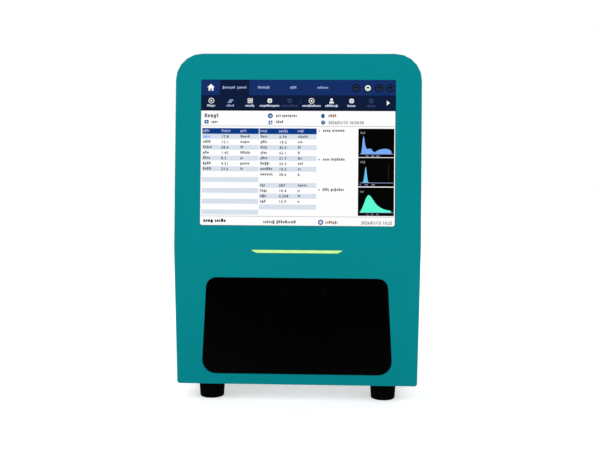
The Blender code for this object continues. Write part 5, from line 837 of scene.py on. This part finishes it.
radius, height = entry.outputs["Head radius"], entry.outputs["Head height"]
dome = add_node(tree, "GeometryNodeMeshUVSphere", (-900, 300), inputs={"Segments": 20, "Rings": 10})
flattened = add_node(tree, "ShaderNodeCombineXYZ", (-900, 100))
wide = maths("MULTIPLY", (-1150, 150), radius, 1.35)
squashed = add_node(tree, "GeometryNodeTransform", (-700, 300))
wall = add_node(tree, "GeometryNodeMeshCylinder", (-900, -150), inputs={"Vertices": 20})
raised = add_node(tree, "ShaderNodeCombineXYZ", (-900, -450))
lifted = add_node(tree, "GeometryNodeTransform", (-700, -150))
head = add_node(tree, "GeometryNodeMeshBoolean", (-450, 200), operation="INTERSECT", solver="EXACT")
join(tree, (wide, flattened, "X"), (wide, flattened, "Y"), (height, flattened, "Z"),
     (dome, "Mesh", squashed, "Geometry"), (flattened, 0, squashed, "Scale"), (radius, wall, "Radius"),
     (maths("MULTIPLY", (-1150, -200), height, 1.15), wall, "Depth"),
     (maths("MULTIPLY", (-1150, -400), height, 0.425), raised, "Z"), (wall, "Mesh", lifted, "Geometry"),
     (raised, 0, lifted, "Translation"), (squashed, 0, head, "Mesh 2"), (lifted, 0, head, "Mesh 2"))

# %% The recess, and a copy on every point
top = add_node(tree, "ShaderNodeCombineXYZ", (-700, -700))
recessed = add_node(tree, "GeometryNodeMeshBoolean", (-200, 100), operation="DIFFERENCE", solver="EXACT")
join(tree, (height, top, "Z"), (head, "Mesh", recessed, "Mesh 1"))
long_side = maths("MULTIPLY", (-1150, -650), radius, 1.15)
for across, along, low in (("X", "Y", -700), ("Y", "X", -950)):
    slot = add_node(tree, "GeometryNodeMeshCube", (-450, low))
    slot_size = add_node(tree, "ShaderNodeCombineXYZ", (-700, low - 150))
    moved_slot = add_node(tree, "GeometryNodeTransform", (-250, low))
    join(tree, (entry, "Recess width", slot_size, across), (long_side, slot_size, along),
         (maths("MULTIPLY", (-950, low - 150), height, 1.1), slot_size, "Z"), (slot_size, 0, slot, "Size"),
         (slot, "Mesh", moved_slot, "Geometry"), (top, 0, moved_slot, "Translation"),
         (moved_slot, 0, recessed, "Mesh 2"))

facing = add_node(tree, "GeometryNodeInputNamedAttribute", (-200, -300), data_type="FLOAT_VECTOR",
                  inputs={"Name": FACING})
upright = add_node(tree, "FunctionNodeAlignRotationToVector", (0, -300), axis="Z")
chance = add_node(tree, "FunctionNodeRandomValue", (-200, -500), data_type="FLOAT")
turn = add_node(tree, "FunctionNodeAxisAngleToRotation", (0, -500))
turned_head = add_node(tree, "FunctionNodeRotateRotation", (200, -350), rotation_space="LOCAL")
placed = add_node(tree, "GeometryNodeInstanceOnPoints", (300, 0))
real = add_node(tree, "GeometryNodeRealizeInstances", (500, 0))
rounded_look = add_node(tree, "GeometryNodeGroup", (700, 0), node_tree=smooth_tree)
join(tree, (facing, "Attribute", upright, "Vector"), (entry, "Seed", chance, "Seed"), (chance, 1, turn, "Angle"),
     (upright, 0, turned_head, "Rotation"), (turn, 0, turned_head, "Rotate By"),
     (entry, "Points", placed, "Points"), (recessed, "Mesh", placed, "Instance"),
     (turned_head, 0, placed, "Rotation"), (placed, 0, real, 0), (real, 0, rounded_look, "Geometry"))
end_in_material(tree, entry, rounded_look)
screw_tree = tree


def screw_row(name, places, radius, height, finish):
    """One piece with a screw head at each (point, direction), all on the body that never moves."""
    spots = bpy.data.meshes.new(name + "_points")
    spots.from_pydata([point for point, direction in places], [], [])
    spots.attributes.new(FACING, "FLOAT_VECTOR", "POINT").data.foreach_set(
        "vector", [value for point, direction in places for value in direction])
    mesh = made_by(screw_tree, name, {
        "Head radius": radius, "Head height": height, "Recess width": radius * RECESS_SHARE, "Seed": SCREW_SEED,
        "Material": finishes[finish]}, spots)
    mesh.name = name
    add_piece(name, mesh, "root")
    print(name, "screws:", len(places), "faces:", len(mesh.polygons))


# %% Screws of the case
BACKWARDS = (0, 1, 0)
panel_low, panel_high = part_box("rear_panel")
SIDE_INSET, LOW_INSET, TOP_INSET = 0.0078, 0.0127, 0.0091
edge_x, low_z, high_z = panel_high.x - SIDE_INSET, panel_low.z + LOW_INSET, panel_high.z - TOP_INSET
middle_z = (low_z + high_z) / 2
screw_row("rear_panel_screws", [((x, panel_high.y, z), BACKWARDS) for x, z in (
    (-edge_x, low_z), (0, low_z), (edge_x, low_z), (-edge_x, middle_z), (edge_x, middle_z),
    (-edge_x, high_z), (0, high_z), (edge_x, high_z))], 0.0028, 0.0017, "zinc_plated_steel")

COVER_SCREW_HEIGHT, COVER_SCREW_DEPTHS = 0.0285, (-0.118, 0.030, 0.178)
cover_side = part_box("main_cover")[1].x
screw_row("cover_screws", [((side * cover_side, y, COVER_SCREW_HEIGHT), (side, 0, 0)) for side in (-1, 1)
                           for y in COVER_SCREW_DEPTHS], 0.0030, 0.0009, "painted_steel")

# %% Screws of the rear fittings
FAN_SCREW_REACH = 0.025
fan_low, fan_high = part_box("fan_frame")
fan_x, fan_z = (fan_low.x + fan_high.x) / 2, (fan_low.z + fan_high.z) / 2
screw_row("fan_screws", [((fan_x + side * FAN_SCREW_REACH, panel_high.y, fan_z + rise * FAN_SCREW_REACH), BACKWARDS)
                         for side in (-1, 1) for rise in (-1, 1)], 0.0030, 0.0019, "dark_metal")

inlet_low, inlet_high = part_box("power_inlet")
inlet_z = (inlet_low.z + inlet_high.z) / 2
INLET_SCREW_INSET = 0.0051
screw_row("inlet_screws", [((x, inlet_high.y, inlet_z), BACKWARDS) for x in (
    inlet_low.x + INLET_SCREW_INSET, inlet_high.x - INLET_SCREW_INSET)], 0.0024, 0.0014, "zinc_plated_steel")

PORT_PLATE, PORT_SCREW_INSET, PORT_SCREW_RISE = 0.0033, 0.0036, 0.0072
ports_low, ports_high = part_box("reagent_ports")
ports_z = (ports_low.z + ports_high.z) / 2
screw_row("port_screws", [((x, panel_high.y + PORT_PLATE, ports_z + rise * PORT_SCREW_RISE), BACKWARDS)
                          for x in (ports_low.x + PORT_SCREW_INSET, ports_high.x - PORT_SCREW_INSET)
                          for rise in (-1, 1)], 0.0019, 0.0012, "zinc_plated_steel")

# %% [markdown]
# ## Rubber feet
# A foot is turned: its outline goes once round an axis. In the solid model it has few sides, and here it gets many,
# so that its edge runs smoothly and its lower rim is round. Blender's Screw modifier could do the same, but rings
# of points joined by faces give a closed mesh at once, with a single point at each pole.

# %% A turned shape
def corner_arc(centre, radius, first, last, steps=6):
    """Points of an arc in the outline's plane, with both angles in degrees."""
    turns = [math.radians(first + (last - first) * k / steps) for k in range(steps + 1)]
    return [(centre[0] + radius * math.cos(turn), centre[1] + radius * math.sin(turn)) for turn in turns]


def turned_mesh(name, outline, place, sides=64):
    """Turns an outline of (radius, height) round a vertical axis. It starts and ends on the axis."""
    made = bmesh.new()
    first, last = (made.verts.new(Vector((0, 0, outline[k][1])) + place) for k in (0, -1))
    rings = [[made.verts.new(Vector((radius * math.cos(2 * math.pi * k / sides),
                                     radius * math.sin(2 * math.pi * k / sides), height)) + place)
              for k in range(sides)] for radius, height in outline[1:-1]]
    for k in range(sides):
        made.faces.new((first, rings[0][k - 1], rings[0][k]))
        made.faces.new((last, rings[-1][k], rings[-1][k - 1]))
        for upper, lower in zip(rings, rings[1:]):
            made.faces.new((upper[k - 1], lower[k - 1], lower[k], upper[k]))
    return closed_mesh(name, made)


# %% The four feet
TOP_RADIUS, LOW_RADIUS, RIM, COLLAR = 0.0144, 0.0135, 0.0011, 0.0045
for node_name in ("front_left_foot", "front_right_foot", "rear_left_foot", "rear_right_foot"):
    low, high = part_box(node_name)
    tall = high.z - low.z
    outline = ([(0, tall)] + corner_arc((TOP_RADIUS - RIM, tall - RIM), RIM, 90, 0)
               + [(TOP_RADIUS, tall - COLLAR)] + corner_arc((LOW_RADIUS - RIM, RIM), RIM, 0, -90)
               + [(LOW_RADIUS / 2, 0), (LOW_RADIUS / 2, tall / 3), (0, tall / 3)])
    place = Vector(((low.x + high.x) / 2, (low.y + high.y) / 2, low.z))
    mesh = turned_mesh(node_name + "_rubber", outline, place)
    piece = add_piece(mesh.name, mesh, "root", finishes["black_rubber"])
    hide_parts(node_name)
    smooth_shading(piece)
print("triangles in a foot:", sum(len(p.vertices) - 2 for p in mesh.polygons))

# %% [markdown]
# ## A ribbed bottle cap
# The cap behind the service door is gripped with wet gloves, so it has fine ribs. The body is turned, and the ribs
# are one small bar repeated round a circle, again by Geometry Nodes: a circle of points, a bar on each, turned so
# that it faces outwards.

# %% A tree for ribs round a circle
tree, entry = geometry_tree("ribs round a circle", {
    "Count": "Int", "Radius": "Float", "Bar": "Vector", "Middle": "Vector", "Material": "Material"})
circle = add_node(tree, "GeometryNodeMeshCircle", (-550, 100))
bar_shape = add_node(tree, "GeometryNodeMeshCube", (-550, -200))
outward = add_node(tree, "FunctionNodeAlignRotationToVector", (-350, -350), axis="X")
here = add_node(tree, "GeometryNodeInputPosition", (-550, -400))
copies = add_node(tree, "GeometryNodeInstanceOnPoints", (-150, 0))
real = add_node(tree, "GeometryNodeRealizeInstances", (50, 0))
carried = add_node(tree, "GeometryNodeTransform", (250, 0))
join(tree, (entry, "Count", circle, "Vertices"), (entry, "Radius", circle, "Radius"),
     (entry, "Bar", bar_shape, "Size"), (here, 0, outward, "Vector"), (circle, 0, copies, "Points"),
     (bar_shape, "Mesh", copies, "Instance"), (outward, 0, copies, "Rotation"), (copies, 0, real, 0),
     (real, 0, carried, "Geometry"), (entry, "Middle", carried, "Translation"))
end_in_material(tree, entry, carried)
rib_tree = tree

# %% The cap
low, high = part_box("bottle_cap")
middle, tall = (low + high) / 2, high.z - low.z
CAP_WALL, CAP_EDGE = 0.0148, 0.0014
NECK_RADIUS, NECK_TALL = 0.0113, 0.0103
DISH, DISH_RADIUS, DISH_EDGE = 0.0004, 0.0115, 0.0120
RIB_COUNT, RIB_DEPTH, RIB_WIDTH = 48, 0.0011, 0.0009
RIB_SHORTER, RIB_DROP = 0.0038, 0.0030
cap_body = turned_mesh("cap_body", [(0, tall - DISH), (DISH_RADIUS, tall - DISH), (DISH_EDGE, tall)]
                       + corner_arc((CAP_WALL - CAP_EDGE, tall - CAP_EDGE), CAP_EDGE, 90, 0)
                       + [(CAP_WALL, 0), (NECK_RADIUS, 0), (NECK_RADIUS, NECK_TALL), (0, NECK_TALL)],
                       Vector((middle.x, middle.y, low.z)))
ribs = made_by(rib_tree, "cap_ribs", {
    "Count": RIB_COUNT, "Radius": CAP_WALL, "Bar": (RIB_DEPTH, RIB_WIDTH, tall - RIB_SHORTER),
    "Middle": (middle.x, middle.y, low.z + (tall - RIB_DROP) / 2), "Material": finishes["blue_cap"]})
cap = add_piece("ribbed_cap", joined("ribbed_cap", [cap_body, ribs]), "root", finishes["blue_cap"])
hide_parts("bottle_cap")
smooth_shading(cap)
print("faces in the cap:", len(cap.data.polygons))

# %% [markdown]
# ## Marks on the power switch
# A rocker shows its two states with a stroke and a ring, which say on and off in every language. They are thin
# printed plates on the two slopes of the rocker, and they ride on the rocker so that they tilt with it.

# %% The stroke and the ring
make_finish("white_print", (0.78, 0.78, 0.78), 0.5, mirror=0.3, tone=0.04, waves=3000)
frame_low, frame_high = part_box("switch_frame")
FRAME_RIM = 0.0020
REACH = (frame_high.z - frame_low.z - 4 * FRAME_RIM) / 2 * 0.82
SWITCH_TILT = math.radians(10)
PRINT = 0.00006
PIVOT_DEPTH = 0.0010
pivot = Matrix.Translation(((frame_low.x + frame_high.x) / 2, panel_high.y - PIVOT_DEPTH,
                            (frame_low.z + frame_high.z) / 2))
slope = math.atan2(0.6 * FRAME_RIM, REACH)


def band_between(name, inner, outer):
    """A closed flat band between two outlines of equally many points, in the X and Z plane."""
    made = bmesh.new()
    loops = [[made.verts.new((x, depth, z)) for x, z in outline]
             for depth in (0, PRINT) for outline in (inner, outer)]
    near_in, near_out, far_in, far_out = loops
    for k in range(len(inner)):
        for a, b in ((near_in, near_out), (near_out, far_out), (far_out, far_in), (far_in, near_in)):
            made.faces.new((a[k - 1], b[k - 1], b[k], a[k]))
    return closed_mesh(name, made)


def ring_outline(wide, tall, sides=32):
    turns = [2 * math.pi * k / sides for k in range(sides)]
    return [(wide * math.cos(turn), tall * math.sin(turn)) for turn in turns]


marks = []
for name, side, inner, outer in (("stroke", 1, (0.00001, 0.0008), (0.00032, 0.0014)),
                                 ("ring", -1, (0.0010, 0.0010), (0.00155, 0.00155))):
    mark = band_between(name, ring_outline(*inner), ring_outline(*outer))
    mark.transform(pivot @ Matrix.Rotation(SWITCH_TILT, 4, "X")
                   @ Matrix.Translation((0, 0.8 * FRAME_RIM + 0.00002, side * REACH / 2))
                   @ Matrix.Rotation(-side * slope, 4, "X"))
    marks.append(mark)
printed = add_piece("switch_marks", joined("switch_marks", marks), "rocker", finishes["white_print"])
print("faces in the marks on the rocker:", len(printed.data.polygons))

# %% [markdown]
# ## Contacts in the data sockets
# Each socket has a dark tongue with four gilded contacts on its underside. A tongue and a contact are both plain
# bars at a fixed step, so the tree that shaded the tables makes them too.

# %% Tongues and contacts
make_finish("gilded_contact", (0.9, 0.62, 0.22), 0.22, 1.0, waves=300, bump=0.03)
sockets_low, sockets_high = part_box("data_sockets")
cell = (sockets_high.x - sockets_low.x) / 3
first_x, sockets_z = sockets_low.x + cell / 2, (sockets_low.z + sockets_high.z) / 2
TONGUE = Vector((cell / 2 + 0.0004, 0.0122, 0.0023))
CONTACT = Vector((0.0010, 0.0085, 0.0003))


def bars(name, count, start, step, size, finish):
    """Bars at a fixed step."""
    return made_by(row_tree, name, {
        "Count": count, "Start": start, "Step": step, "Size": size, "Colour": (1, 1, 1, 1),
        "Material": finishes[finish]})


TONGUE_START, CONTACT_PITCH = 0.1747, 0.0022
tongue_y = TONGUE_START + TONGUE.y / 2
tongues = bars("socket_tongues", 3, (first_x, tongue_y, sockets_z), (cell, 0, 0), TONGUE, "black_plastic")
add_piece("socket_tongues", tongues, "root")
contact_z = sockets_z - TONGUE.z / 2 - CONTACT.z / 2 + 0.00005
rows = [bars("contacts", 4, (first_x + cell * socket - 1.5 * CONTACT_PITCH, tongue_y + 0.001, contact_z),
             (CONTACT_PITCH, 0, 0), CONTACT, "gilded_contact") for socket in range(3)]
contacts = add_piece("socket_contacts", joined("socket_contacts", rows), "root",
                     finishes["gilded_contact"])
print("faces in the contacts:", len(contacts.data.polygons))
